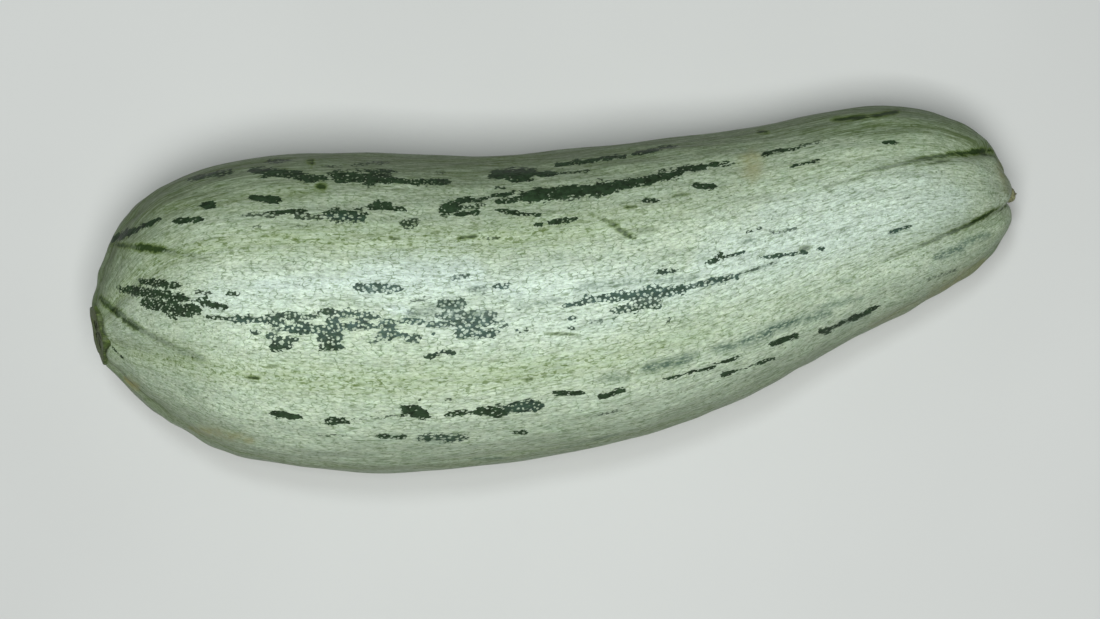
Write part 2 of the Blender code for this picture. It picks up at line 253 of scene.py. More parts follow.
class Trait(Enum):
    """What is stored at each point of the skin for its material to read."""

    SKIN_MAP = "skin_map"
    UNBENT = "unbent"
    MERIDIAN = "meridian"
    DARK = "dark"
    DARK_STRENGTH = "dark_strength"
    MOSS = "moss"
    MOSS_STRENGTH = "moss_strength"
    STAIN = "stain"
    PAINTED_SHADE = "shade"
    SMUDGE = "smudge"
    PAINTED_HIGHLIGHT = "painted_highlight"
    PAINTED_SHEEN = "painted_sheen"
    BAND = "band"
    STREAKED = "streaked"
    BELLY = "belly"


class Effect(Enum):
    """The node groups that the materials share."""

    MOTTLE = "mottle"
    CELL_NET = "cell_net"
    FINE_LINES = "fine_lines"
    SPECKS = "specks"
    RAGGED_EDGE = "ragged_edge"


def paint(red: int, green: int, blue: int) -> Colour:
    """A colour that is named as it looks on a screen, as the light that a shader works with.

    Args:
        red: from 0 to 255.
        green: from 0 to 255.
        blue: from 0 to 255.

    Returns:
        The three values in linear light.
    """
    shares = (red / 255, green / 255, blue / 255)
    return tuple(part / 12.92 if part <= 0.04045 else ((part + 0.055) / 1.055) ** 2.4 for part in shares)


def smooth_step(values: np.ndarray, low: float, high: float) -> np.ndarray:
    """A soft rise from 0 at low to 1 at high, or a fall where high is the smaller."""
    share = np.clip((values - low) / (high - low), 0, 1)
    return share * share * (3 - 2 * share)


def wrap(turn: np.ndarray) -> np.ndarray:
    """Turns as numbers between minus and plus half a turn."""
    return (turn + math.pi) % TAU - math.pi


def turn_outwards(shape: bmesh.types.BMesh) -> None:
    """Points every face of a closed shape outwards.

    Args:
        shape: the shape, whose normals are changed.
    """
    shape.normal_update()
    bmesh.ops.recalc_face_normals(shape, faces=shape.faces)
    shape.normal_update()


def place_vertices(shape: bmesh.types.BMesh, points: np.ndarray) -> None:
    """Moves the vertices of a shape to these points, in their order."""
    for vertex, point in zip(shape.verts, points.tolist()):
        vertex.co = point


def vertex_normals(shape: bmesh.types.BMesh) -> np.ndarray:
    """The normals of a shape's vertices, in their order."""
    return np.array([vertex.normal[:] for vertex in shape.verts])


def add_piece(name: str, shape: bmesh.types.BMesh, *finishes: bpy.types.Material) -> bpy.types.Object:
    """Makes a smooth piece from a bmesh, which is freed.

    Args:
        name: the piece's name.
        shape: its mesh, in the model's frame.
        finishes: its materials, in the order of its faces' material numbers.

    Returns:
        The new object, at the origin.
    """
    mesh = bpy.data.meshes.new(name)
    shape.to_mesh(mesh)
    shape.free()
    for finish in finishes:
        mesh.materials.append(finish)
    mesh.shade_smooth()
    piece = bpy.data.objects.new(name, mesh)
    bpy.context.scene.collection.objects.link(piece)
    return piece


def store(mesh: bpy.types.Mesh, trait: Trait, values: np.ndarray) -> None:
    """Keeps one number or one vector at each point of a mesh.

    Args:
        mesh: the mesh.
        trait: what the values are.
        values: a number or a row of three for each point.
    """
    kind, name = ("FLOAT_VECTOR", "vector") if values.ndim == 2 else ("FLOAT", "value")
    mesh.attributes.new(trait.value, kind, "POINT").data.foreach_set(name, values.ravel())


class Wiring:
    """Adds and joins the nodes of one material or one node group."""

    def __init__(self, tree: bpy.types.NodeTree) -> None:
        """Keeps the tree that gets the nodes."""
        self.tree = tree

    def feed(self, target: bpy.types.NodeSocket, value: object) -> None:
        """Joins a socket to another one, or sets it.

        Args:
            target: the socket that is fed.
            value: a socket, a number, a colour or a vector.
        """
        if isinstance(value, bpy.types.NodeSocket):
            self.tree.links.new(value, target)
        elif isinstance(value, tuple) and target.type == "RGBA":
            target.default_value = (*value, 1)
        else:
            target.default_value = value

    def node(self, kind: str, inputs: dict, output: object = 0, **settings: object) -> bpy.types.NodeSocket:
        """Adds a node.

        Args:
            kind: its type without the leading ShaderNode.
            inputs: what feeds its inputs, by name or by number.
            output: the name or the number of the output that is wanted.
            settings: its own properties.

        Returns:
            The socket of that output.
        """
        made = self.tree.nodes.new("ShaderNode" + kind)
        for name, value in settings.items():
            setattr(made, name, value)
        for key, value in inputs.items():
            self.feed(made.inputs[key], value)
        return made.outputs[output]

    def sum(self, operation: str, *values: object) -> bpy.types.NodeSocket:
        """One step of arithmetic with sockets or numbers, under Blender's name for it."""
        return self.node("Math", dict(enumerate(values)), operation=operation)

    def scaled(self, value: object, factor: object, offset: object) -> bpy.types.NodeSocket:
        """A value times a factor, plus an offset."""
        return self.sum("MULTIPLY_ADD", value, factor, offset)

    def product(self, *values: object) -> bpy.types.NodeSocket:
        """The product of sockets and numbers.

        Args:
            values: the sockets and numbers, the first one a socket.

        Returns:
            The socket with the product.
        """
        total = values[0]
        for value in values[1:]:
            total = self.sum("MULTIPLY", total, value)
        return total

    def step(
        self, value: object, low: float, high: float, least: float = 0, most: float = 1
    ) -> bpy.types.NodeSocket:
        """A soft rise from least to most while the value goes from low to high."""
        inputs = {"Value": value, "From Min": low, "From Max": high, "To Min": least, "To Max": most}
        return self.node("MapRange", inputs, "Result", interpolation_type="SMOOTHSTEP")

    def cover(self, under: object, over: object, *shares: object) -> bpy.types.NodeSocket:
        """Lays one colour over another, as far as the product of the shares."""
        inputs = {"Factor": self.product(*shares), 6: under, 7: over}
        return self.node("Mix", inputs, 2, data_type="RGBA", clamp_factor=True)

    def shade(self, colour: object, amount: object) -> bpy.types.NodeSocket:
        """Multiplies a colour by a number that changes over the surface."""
        return self.node("VectorMath", {0: colour, "Scale": amount}, operation="SCALE")

    def read(self, trait: Trait, output: str = "Fac") -> bpy.types.NodeSocket:
        """What is stored at the points of the mesh, as a number, or as a vector where that is asked for."""
        return self.node("Attribute", {}, output, attribute_name=trait.value, attribute_type="GEOMETRY")

    def skin_map(self) -> bpy.types.NodeSocket:
        """The place on the skin laid out flat, in metres along and round it."""
        flat = self.node("UVMap", {}, uv_map=Trait.SKIN_MAP.value)
        return self.node("VectorMath", {0: flat, 1: (MAP_RUN, MAP_ROUND, 1.0)}, operation="MULTIPLY")

    def object_place(self) -> bpy.types.NodeSocket:
        """Object coordinates."""
        return self.node("TexCoord", {}, "Object")

    def steps(self, place: object, *sizes: object) -> bpy.types.NodeSocket:
        """Counts a place in steps of three sizes, one for each axis."""
        lengths = self.node("CombineXYZ", dict(enumerate(sizes)))
        return self.node("VectorMath", {0: place, 1: lengths}, operation="DIVIDE")

    def noise(self, place: object, detail: float, roughness: float) -> bpy.types.NodeSocket:
        """Soft noise that changes about once a step, mostly between 0.3 and 0.7."""
        inputs = {"Vector": place, "Scale": 1.0, "Detail": detail, "Roughness": roughness}
        return self.node("TexNoise", inputs, "Fac")

    def effect(self, effect: Effect, **inputs: object) -> dict[str, bpy.types.NodeSocket]:
        """Places a shared effect, fed by the names of its inputs, and gives its outputs by name."""
        first = self.node("Group", inputs, node_tree=bpy.data.node_groups[effect.value])
        return {socket.name: socket for socket in first.node.outputs}

    def mottle(self, place: object, size: float) -> bpy.types.NodeSocket:
        """Broad, soft variation that changes about once in this size."""
        return self.effect(Effect.MOTTLE, Place=place, Size=size)["Amount"]

    def surface(
        self, shader: bpy.types.Node, colour: object, roughness: object, height: object, depth: float
    ) -> None:
        """Feeds a shader's colour and roughness, and its normal with small relief.

        Args:
            shader: the material's shader.
            colour: its base colour.
            roughness: its roughness.
            height: heights from 0 to 1.
            depth: how high 1 stands, in metres.
        """
        self.feed(shader.inputs["Base Color"], colour)
        self.feed(shader.inputs["Roughness"], roughness)
        bump = self.node("Bump", {"Height": height, "Distance": depth}, "Normal")
        self.feed(shader.inputs["Normal"], bump)


class EffectShelf:
    """Builds each shared effect once, as a node group."""

    def build(self) -> None:
        """Builds them all."""
        for make in (self.mottle, self.cell_net, self.fine_lines, self.specks, self.ragged_edge):
            make()
        LOG.info("effects: %d node groups", len(Effect))

    def start(self, effect: Effect, inputs: dict[str, object], outputs: tuple[str, ...]) -> tuple:
        """Starts a node group.

        Args:
            effect: which one.
            inputs: the names of its inputs, with a number each, or None for a place.
            outputs: the names of its outputs, all of them numbers.

        Returns:
            Its wiring, its inputs by name, and its outputs by name.
        """
        tree = bpy.data.node_groups.new(effect.value, "ShaderNodeTree")
        for name, value in inputs.items():
            kind = "NodeSocketVector" if value is None else "NodeSocketFloat"
            socket = tree.interface.new_socket(name=name, in_out="INPUT", socket_type=kind)
            if value is not None:
                socket.default_value = value
        for name in outputs:
            tree.interface.new_socket(name=name, in_out="OUTPUT", socket_type="NodeSocketFloat")
        entry = tree.nodes.new("NodeGroupInput")
        way_out = tree.nodes.new("NodeGroupOutput")
        return Wiring(tree), entry.outputs, way_out.inputs

    def mottle(self) -> None:
        """Broad, soft variation: 0 to 1, half of it below 0.5."""
        wiring, given, result = self.start(Effect.MOTTLE, {"Place": None, "Size": 0.02}, ("Amount",))
        steps = wiring.steps(given["Place"], given["Size"], given["Size"], given["Size"])
        wiring.feed(result["Amount"], wiring.step(wiring.noise(steps, 3, 0.55), 0.3, 0.7))

    def cell_net(self) -> None:
        """Skin cells on a flat map: the lines between them, their centres, and a tone for each cell."""
        names = {"Place": None, "Length": 0.002, "Width": 0.0013, "Line": 0.1}
        wiring, given, result = self.start(Effect.CELL_NET, names, ("Lines", "Centres", "Tone"))
        steps = wiring.steps(given["Place"], given["Length"], given["Width"], given["Width"])
        warp = wiring.node("TexNoise", {"Vector": steps, "Scale": 0.9, "Detail": 1.0}, "Color")
        moved = wiring.node("VectorMath", {0: warp, 1: (0.8, 0.8, 0.8), 2: steps}, operation="MULTIPLY_ADD")
        inputs = {"Vector": moved, "Scale": 1.0, "Randomness": 0.85}
        edge, middle = (
            wiring.node("TexVoronoi", inputs, "Distance", feature=feature, voronoi_dimensions="2D")
            for feature in ("DISTANCE_TO_EDGE", "F1")
        )
        nearness = wiring.sum("DIVIDE", edge, given["Line"])
        wiring.feed(result["Lines"], wiring.step(nearness, 1.0, 0.0))
        wiring.feed(result["Centres"], wiring.step(middle, 0.5, 0.0))
        wiring.feed(result["Tone"], wiring.node("SeparateColor", {0: middle.node.outputs["Color"]}))

    def fine_lines(self) -> None:
        """Short thin lines along the first axis, which come and go."""
        names = {"Place": None, "Spacing": 0.0006, "Run": 0.006, "Share": 0.5}
        wiring, given, result = self.start(Effect.FINE_LINES, names, ("Lines", "Grain"))
        steps = wiring.steps(given["Place"], given["Run"], given["Spacing"], given["Spacing"])
        grain = wiring.noise(steps, 2, 0.6)
        bar = wiring.scaled(given["Share"], -0.08, 0.63)
        wiring.feed(result["Lines"], wiring.step(wiring.sum("SUBTRACT", grain, bar), -0.03, 0.06))
        wiring.feed(result["Grain"], grain)

    def specks(self) -> None:
        """Scattered small dots, of which only a share shows."""
        names = {"Place": None, "Spacing": 0.004, "Size": 0.1, "Share": 0.4}
        wiring, given, result = self.start(Effect.SPECKS, names, ("Specks",))
        steps = wiring.steps(given["Place"], given["Spacing"], given["Spacing"], given["Spacing"])
        dots = wiring.node("TexVoronoi", {"Vector": steps, "Scale": 1.0}, "Distance", feature="F1")
        tone = wiring.node("SeparateColor", {0: dots.node.outputs["Color"]})
        shown = wiring.sum("LESS_THAN", tone, given["Share"])
        size = wiring.product(given["Size"], wiring.sum("ADD", tone.node.outputs[1], 0.4))
        inside = wiring.sum("DIVIDE", dots, size)
        wiring.feed(result["Specks"], wiring.product(wiring.step(inside, 1.0, 0.5), shown))

    def ragged_edge(self) -> None:
        """Frays the edge of a stored mark, whose stored value is positive inside it."""
        names = {"Edge": 0.0, "Place": None, "Length": 0.0026, "Width": 0.0009, "Fray": 1.0}
        wiring, given, result = self.start(Effect.RAGGED_EDGE, names, ("Mask", "Depth"))
        steps = wiring.steps(given["Place"], given["Length"], given["Width"], given["Width"])
        fine = wiring.sum("SUBTRACT", wiring.noise(steps, 3, 0.65), 0.5)
        broad = wiring.sum("SUBTRACT", wiring.noise(wiring.steps(steps, 2.3, 2.6, 2.6), 2, 0.5), 0.5)
        fray = wiring.product(wiring.sum("ADD", fine, broad), given["Fray"])
        depth = wiring.scaled(fray, 4.0, given["Edge"])
        wiring.feed(result["Mask"], wiring.step(depth, -0.10, 0.14))
        wiring.feed(result["Depth"], depth)


class Finish:
    """A material that each finish dresses in its own way."""

    name: str

    def make(self) -> bpy.types.Material:
        """Builds the material.

        Returns:
            The material, under the finish's name.
        """
        made = bpy.data.materials.new(self.name)
        made.use_nodes = True
        self.dress(Wiring(made.node_tree), made.node_tree.nodes["Principled BSDF"])
        return made

    def dress(self, wiring: Wiring, shader: bpy.types.Node) -> None:
        """Adds the nodes that feed the shader."""
        raise NotImplementedError


@dataclass
class SkinPatterns:
    """What the layers of the skin's colour share."""

    wiring: Wiring
    unbent: bpy.types.NodeSocket  # the place on the straightened body
    meridian: bpy.types.NodeSocket  # the place along and round the skin
    flat: bpy.types.NodeSocket  # the place on the skin laid out flat
    streaked: bpy.types.NodeSocket  # how far lines take the place of cells
    cells: dict[str, bpy.types.NodeSocket]
    lines: dict[str, bpy.types.NodeSocket]


@dataclass(frozen=True)
class SkinFinish(Finish):
    """Waxy pale skin with a net of cells, fine lines, green bands, frayed dark marks, painted shade and
    highlight.
    """

    name: str = "striped_skin"
    pale: Colour = paint(190, 206, 184)
    cream: Colour = paint(202, 212, 188)
    green: Colour = paint(164, 183, 156)
    # painted highlight: the bluish-white sheen along the top
    painted_highlight: Colour = paint(204, 220, 212)
    cell_line: Colour = paint(100, 120, 88)
    cell_centre: Colour = paint(214, 224, 212)
    fine_line: Colour = paint(98, 120, 80)
    dash: Colour = paint(88, 110, 66)
    band: Colour = paint(150, 168, 118)
    speck: Colour = paint(82, 98, 66)
    stain: Colour = paint(138, 132, 82)
    # painted shade: the dark olive laid where less light falls
    shade: Colour = paint(66, 84, 32)
    smudge: Colour = paint(78, 100, 86)
    # painted sheen: the bluish grey that the highlight gives the dark marks
    dark_painted_sheen: Colour = paint(92, 120, 116)
    moss: Colour = paint(88, 108, 48)
    moss_deep: Colour = paint(34, 54, 16)
    dark: Colour = paint(44, 66, 42)
    dark_deep: Colour = paint(17, 31, 15)
    belly: Colour = paint(206, 206, 158)
    relief_depth: float = 0.09 * MM

    def dress(self, wiring: Wiring, shader: bpy.types.Node) -> None:
        """Lays the ground, the tints and the marks over each other.

        Args:
            wiring: the material's wiring.
            shader: its shader.
        """
        meridian, streaked = wiring.read(Trait.MERIDIAN, "Vector"), wiring.read(Trait.STREAKED)
        flat = wiring.skin_map()
        cells = wiring.effect(Effect.CELL_NET, Place=flat, Length=0.0027, Width=0.0012, Line=0.13)
        lines = wiring.effect(Effect.FINE_LINES, Place=meridian, Spacing=0.0007, Run=0.0030, Share=streaked)
        unbent = wiring.read(Trait.UNBENT, "Vector")
        patterns = SkinPatterns(wiring, unbent, meridian, flat, streaked, cells, lines)
        colour, dark = self.marks(patterns, self.tints(patterns, self.ground(patterns)))
        roughness = wiring.scaled(lines["Grain"], 0.10, wiring.scaled(cells["Lines"], 0.10, 0.40))
        height = wiring.scaled(cells["Centres"], 0.5, wiring.product(lines["Grain"], 0.9))
        height = wiring.scaled(cells["Lines"], -0.25, height)
        wiring.surface(shader, colour, wiring.scaled(dark, -0.04, roughness), height, self.relief_depth)
        shader.inputs["Specular IOR Level"].default_value = 0.05
        shader.inputs["Subsurface Weight"].default_value = 0.06
        shader.inputs["Subsurface Radius"].default_value = (0.9, 1.0, 0.5)
        shader.inputs["Subsurface Scale"].default_value = 0.002

    def ground(self, patterns: SkinPatterns) -> bpy.types.NodeSocket:
        """The pale ground: broad variation, a painted highlight, the cell net, fine lines and specks.

        Args:
            patterns: what the layers share.

        Returns:
            The socket with the colour.
        """
        wiring, unbent, meridian = patterns.wiring, patterns.unbent, patterns.meridian
        cells, streaked = patterns.cells, patterns.streaked
        colour = wiring.cover(self.pale, self.green, wiring.mottle(meridian, 0.024), 0.5)
        colour = wiring.cover(colour, self.cream, wiring.mottle(unbent, 0.0042), 0.5)
        # painted highlight laid over the ground
        colour = wiring.cover(colour, self.painted_highlight, wiring.read(Trait.PAINTED_HIGHLIGHT), 0.8)
        colour = wiring.shade(colour, wiring.scaled(cells["Tone"], 0.14, 0.93))
        celled = wiring.scaled(streaked, -0.75, 1.0)
        seen = wiring.step(wiring.mottle(unbent, 0.0019), 0.2, 0.9, 0.05, 1.0)
        colour = wiring.cover(colour, self.cell_line, cells["Lines"], celled, seen)
        colour = wiring.cover(colour, self.cell_centre, cells["Centres"], celled, 0.35)
        colour = wiring.cover(colour, self.fine_line, patterns.lines["Lines"], 0.5)
        dashes = wiring.effect(Effect.FINE_LINES, Place=unbent, Spacing=0.0011, Run=0.0034, Share=0.2)
        colour = wiring.cover(colour, self.dash, dashes["Lines"], 0.42)
        grain = wiring.noise(wiring.steps(unbent, 0.0017, 0.0007, 0.0007), 3, 0.7)
        colour = wiring.shade(colour, wiring.step(grain, 0.25, 0.75, 0.76, 1.24))
        wide = wiring.effect(Effect.FINE_LINES, Place=meridian, Spacing=0.0016, Run=0.022, Share=streaked)
        colour = wiring.shade(colour, wiring.step(wide["Grain"], 0.25, 0.75, 1.07, 0.89))
        specks = wiring.effect(Effect.SPECKS, Place=unbent, Spacing=0.0022, Size=0.17, Share=0.5)
        return wiring.cover(colour, self.speck, specks["Specks"], 0.6)

    def tints(self, patterns: SkinPatterns, colour: object) -> bpy.types.NodeSocket:
        """The soft tints: green bands in the furrows, painted shade, stained patches, and the belly.

        Args:
            patterns: what the layers share.
            colour: the ground.

        Returns:
            The socket with the colour.
        """
        wiring, unbent, band = patterns.wiring, patterns.unbent, patterns.wiring.read(Trait.BAND)
        streaks = wiring.effect(
            Effect.FINE_LINES, Place=patterns.meridian, Spacing=0.0009, Run=0.012, Share=0.9
        )
        soft = wiring.step(streaks["Grain"], 0.3, 0.7, 0.25, 1.0)
        colour = wiring.cover(colour, self.band, band, soft, 0.52)
        colour = wiring.cover(colour, self.moss, band, patterns.lines["Lines"], 0.5)
        flecks = wiring.effect(Effect.FINE_LINES, Place=unbent, Spacing=0.0013, Run=0.0024, Share=0.42)
        colour = wiring.cover(colour, self.moss, band, flecks["Lines"], 0.7)
        # painted shade: the sides, the ends and some patches darken towards olive, where less light falls
        colour = wiring.cover(colour, self.shade, wiring.read(Trait.PAINTED_SHADE), wiring.scaled(soft, 0.5, 0.5))
        patch = wiring.mottle(unbent, 0.005)
        colour = wiring.cover(colour, self.stain, wiring.read(Trait.STAIN), wiring.scaled(patch, 0.7, 0.3))
        return wiring.cover(colour, self.belly, wiring.read(Trait.BELLY), wiring.scaled(patch, 0.4, 0.6))

    def marks(
        self, patterns: SkinPatterns, colour: object
    ) -> tuple[bpy.types.NodeSocket, bpy.types.NodeSocket]:
        """The mossy and the dark marks, with pale dots where the cells' centres stay free.

        Args:
            patterns: what the layers share.
            colour: the skin without its marks.

        Returns:
            The sockets with the colour and with the mask of the dark marks.
        """
        wiring, unbent = patterns.wiring, patterns.unbent
        edge = wiring.read(Trait.MOSS)
        ragged = wiring.effect(
            Effect.RAGGED_EDGE, Edge=edge, Place=unbent, Length=0.0030, Width=0.0009, Fray=0.7
        )
        green = wiring.cover(self.moss, self.moss_deep, wiring.step(ragged["Depth"], -0.1, 1.0))
        inside = wiring.step(ragged["Depth"], -1.2, 0.8)
        colour = wiring.cover(colour, green, inside, wiring.read(Trait.MOSS_STRENGTH), 0.95)

        grain = wiring.noise(wiring.steps(unbent, 0.0032, 0.0008, 0.0008), 3, 0.65)
        cells = wiring.effect(Effect.CELL_NET, Place=patterns.flat, Length=0.0015, Width=0.00125, Line=0.1)
        streaky = wiring.step(grain, 0.30, 0.60, 0.35, 1.35)
        dotted = wiring.scaled(cells["Centres"], -0.6, 1.0)
        colour = wiring.cover(colour, self.smudge, wiring.read(Trait.SMUDGE), streaky, dotted)

        # the last one read is the painted sheen, where the highlight falls on the dark marks
        strength, edge, painted_sheen = (
            wiring.read(trait) for trait in (Trait.DARK_STRENGTH, Trait.DARK, Trait.PAINTED_SHEEN)
        )
        ragged = wiring.effect(
            Effect.RAGGED_EDGE, Edge=edge, Place=unbent, Length=0.0018, Width=0.0008, Fray=0.9
        )
        gaps = wiring.noise(wiring.steps(unbent, 0.0032, 0.0016, 0.0016), 3, 0.65)
        # the painted sheen also opens the dark marks with more pale gaps
        weakness = wiring.scaled(painted_sheen, 0.38, wiring.scaled(strength, -3.2, 2.95))
        openness = wiring.scaled(wiring.sum("SUBTRACT", gaps, 0.5), 3.4, weakness)
        chosen = wiring.step(wiring.scaled(cells["Tone"], 0.8, openness), 0.25, 0.8)
        free = wiring.step(wiring.scaled(openness, 0.42, cells["Centres"]), 0.50, 0.82)
        filled = wiring.scaled(wiring.product(free, chosen), -0.82, 1.0)
        mask = wiring.product(ragged["Mask"], filled, wiring.step(strength, 0.2, 0.8, 0.45, 0.97))
        tone = wiring.product(wiring.mottle(unbent, 0.0022), 0.6)
        dark = wiring.cover(self.dark, self.dark_deep, wiring.scaled(cells["Tone"], 0.4, tone))
        # painted sheen: under the highlight the dark marks turn bluish grey
        dark = wiring.cover(dark, self.dark_painted_sheen, painted_sheen, wiring.step(gaps, 0.3, 0.7, 0.15, 0.6))
        return wiring.cover(colour, dark, mask), mask


@dataclass(frozen=True)
class RindFinish(Finish):
    """The stem's ribbed green side."""

    name: str = "stem_side"
    green: Colour = paint(70, 88, 36)
    deep: Colour = paint(42, 54, 22)
    line: Colour = paint(100, 118, 58)
    relief_depth: float = 0.15 * MM

    def dress(self, wiring: Wiring, shader: bpy.types.Node) -> None:
        """Lays fine lines over two greens.

        Args:
            wiring: the material's wiring.
            shader: its shader.
        """
        place = wiring.object_place()
        patch = wiring.mottle(place, 0.0030)
        lines = wiring.effect(Effect.FINE_LINES, Place=place, Spacing=0.0005, Run=0.004, Share=0.8)
        colour = wiring.cover(wiring.cover(self.green, self.deep, patch), self.line, lines["Lines"], 0.6)
        roughness = wiring.step(patch, 0.0, 1.0, 0.55, 0.72)
        wiring.surface(shader, colour, roughness, lines["Grain"], self.relief_depth)


@dataclass(frozen=True)
class CutFinish(Finish):
    """The stem's dried cut face, with rays of fibre and a spongy middle."""

    name: str = "stem_cut"
    flesh: Colour = paint(66, 82, 34)
    ray: Colour = paint(98, 116, 56)
    pith: Colour = paint(78, 86, 40)
    pore: Colour = paint(34, 38, 18)
    relief_depth: float = 0.20 * MM

    def dress(self, wiring: Wiring, shader: bpy.types.Node) -> None:
        """Lays fibres and pores over the flesh.

        Args:
            wiring: the material's wiring.
            shader: its shader.
        """
        place = wiring.object_place()
        patch = wiring.mottle(place, 0.0024)
        pores = wiring.effect(Effect.SPECKS, Place=place, Spacing=0.0011, Size=0.34, Share=0.6)["Specks"]
        fibres = wiring.noise(wiring.steps(place, 0.0030, 0.0004, 0.0014), 3, 0.6)
        colour = wiring.cover(self.flesh, self.pith, patch)
        colour = wiring.cover(colour, self.ray, wiring.step(fibres, 0.5, 0.66))
        colour = wiring.cover(colour, self.pore, pores, 0.8)
        roughness = wiring.step(patch, 0.0, 1.0, 0.66, 0.84)
        wiring.surface(shader, colour, roughness, wiring.sum("SUBTRACT", fibres, pores), self.relief_depth)


@dataclass(frozen=True)
class CorkFinish(Finish):
    """The dry, pitted blossom scar."""

    name: str = "scar_cork"
    tan: Colour = paint(142, 144, 106)
    brown: Colour = paint(96, 94, 62)
    pore: Colour = paint(46, 42, 24)
    relief_depth: float = 0.15 * MM

    def dress(self, wiring: Wiring, shader: bpy.types.Node) -> None:
        """Lays pores over two browns.

        Args:
            wiring: the material's wiring.
            shader: its shader.
        """
        place = wiring.object_place()
        patch = wiring.mottle(place, 0.0013)
        pores = wiring.effect(Effect.SPECKS, Place=place, Spacing=0.0006, Size=0.36, Share=0.5)["Specks"]
        colour = wiring.cover(wiring.cover(self.tan, self.brown, patch), self.pore, pores, 0.8)
        roughness = wiring.step(patch, 0.0, 1.0, 0.78, 0.92)
        wiring.surface(shader, colour, roughness, wiring.sum("SUBTRACT", patch, pores), self.relief_depth)


@dataclass(frozen=True)
class FloorFinish(Finish):
    """A plain pale floor."""

    name: str = "pale_floor"
    pale: Colour = (0.60, 0.60, 0.59)
    paler: Colour = (0.63, 0.63, 0.62)
    patch_size: float = 0.25

    def dress(self, wiring: Wiring, shader: bpy.types.Node) -> None:
        """Varies the floor's tone a little.

        Args:
            wiring: the material's wiring.
            shader: its shader.
        """
        patch = wiring.mottle(wiring.object_place(), self.patch_size)
        wiring.feed(shader.inputs["Base Color"], wiring.cover(self.pale, self.paler, patch))
        shader.inputs["Roughness"].default_value = 0.85


@dataclass(frozen=True)
class PhotoCamera:
    """The camera, straight above the fruit as the photograph was taken."""

    place: tuple[float, float, float] = (-0.0025, -0.0069, 1.0381)
    lens: float = 100.0
    sensor: float = 36.0
    width: float = 1100.0
    height: float = 619.0

    def build(self) -> bpy.types.Object:
        """Makes it the scene's camera.

        Returns:
            The camera, which looks straight down with +Y up in the picture.
        """
        data = bpy.data.cameras.new("photo_camera")
        data.lens, data.sensor_width = self.lens, self.sensor
        data.clip_start, data.clip_end = 0.01, 20.0
        camera = bpy.data.objects.new("photo_camera", data)
        camera.location = self.place
        bpy.context.scene.collection.objects.link(camera)
        bpy.context.scene.camera = camera
        return camera

    def pixels(self, points: np.ndarray) -> np.ndarray:
        """Where points show in the photograph.

        Args:
            points: places in the model's frame, a row each.

        Returns:
            A row of x and y for each, in photo pixels from the top left corner.
        """
        reach = self.lens / self.sensor * self.width / (self.place[2] - points[:, 2])
        across = self.width / 2 + (points[:, 0] - self.place[0]) * reach
        down = self.height / 2 - (points[:, 1] - self.place[1]) * reach
        return np.column_stack((across, down))

    def facing(self, points: np.ndarray, normals: np.ndarray) -> np.ndarray:
        """How squarely the surface faces the camera.

        Args:
            points: places in the model's frame, a row each.
            normals: the surface's normals there.

        Returns:
            For each point, 1 where it is square to the camera and below 0 where it is hidden.
        """
        towards = np.array(self.place) - points
        towards /= np.linalg.norm(towards, axis=1, keepdims=True)
        return (towards * normals).sum(axis=1)


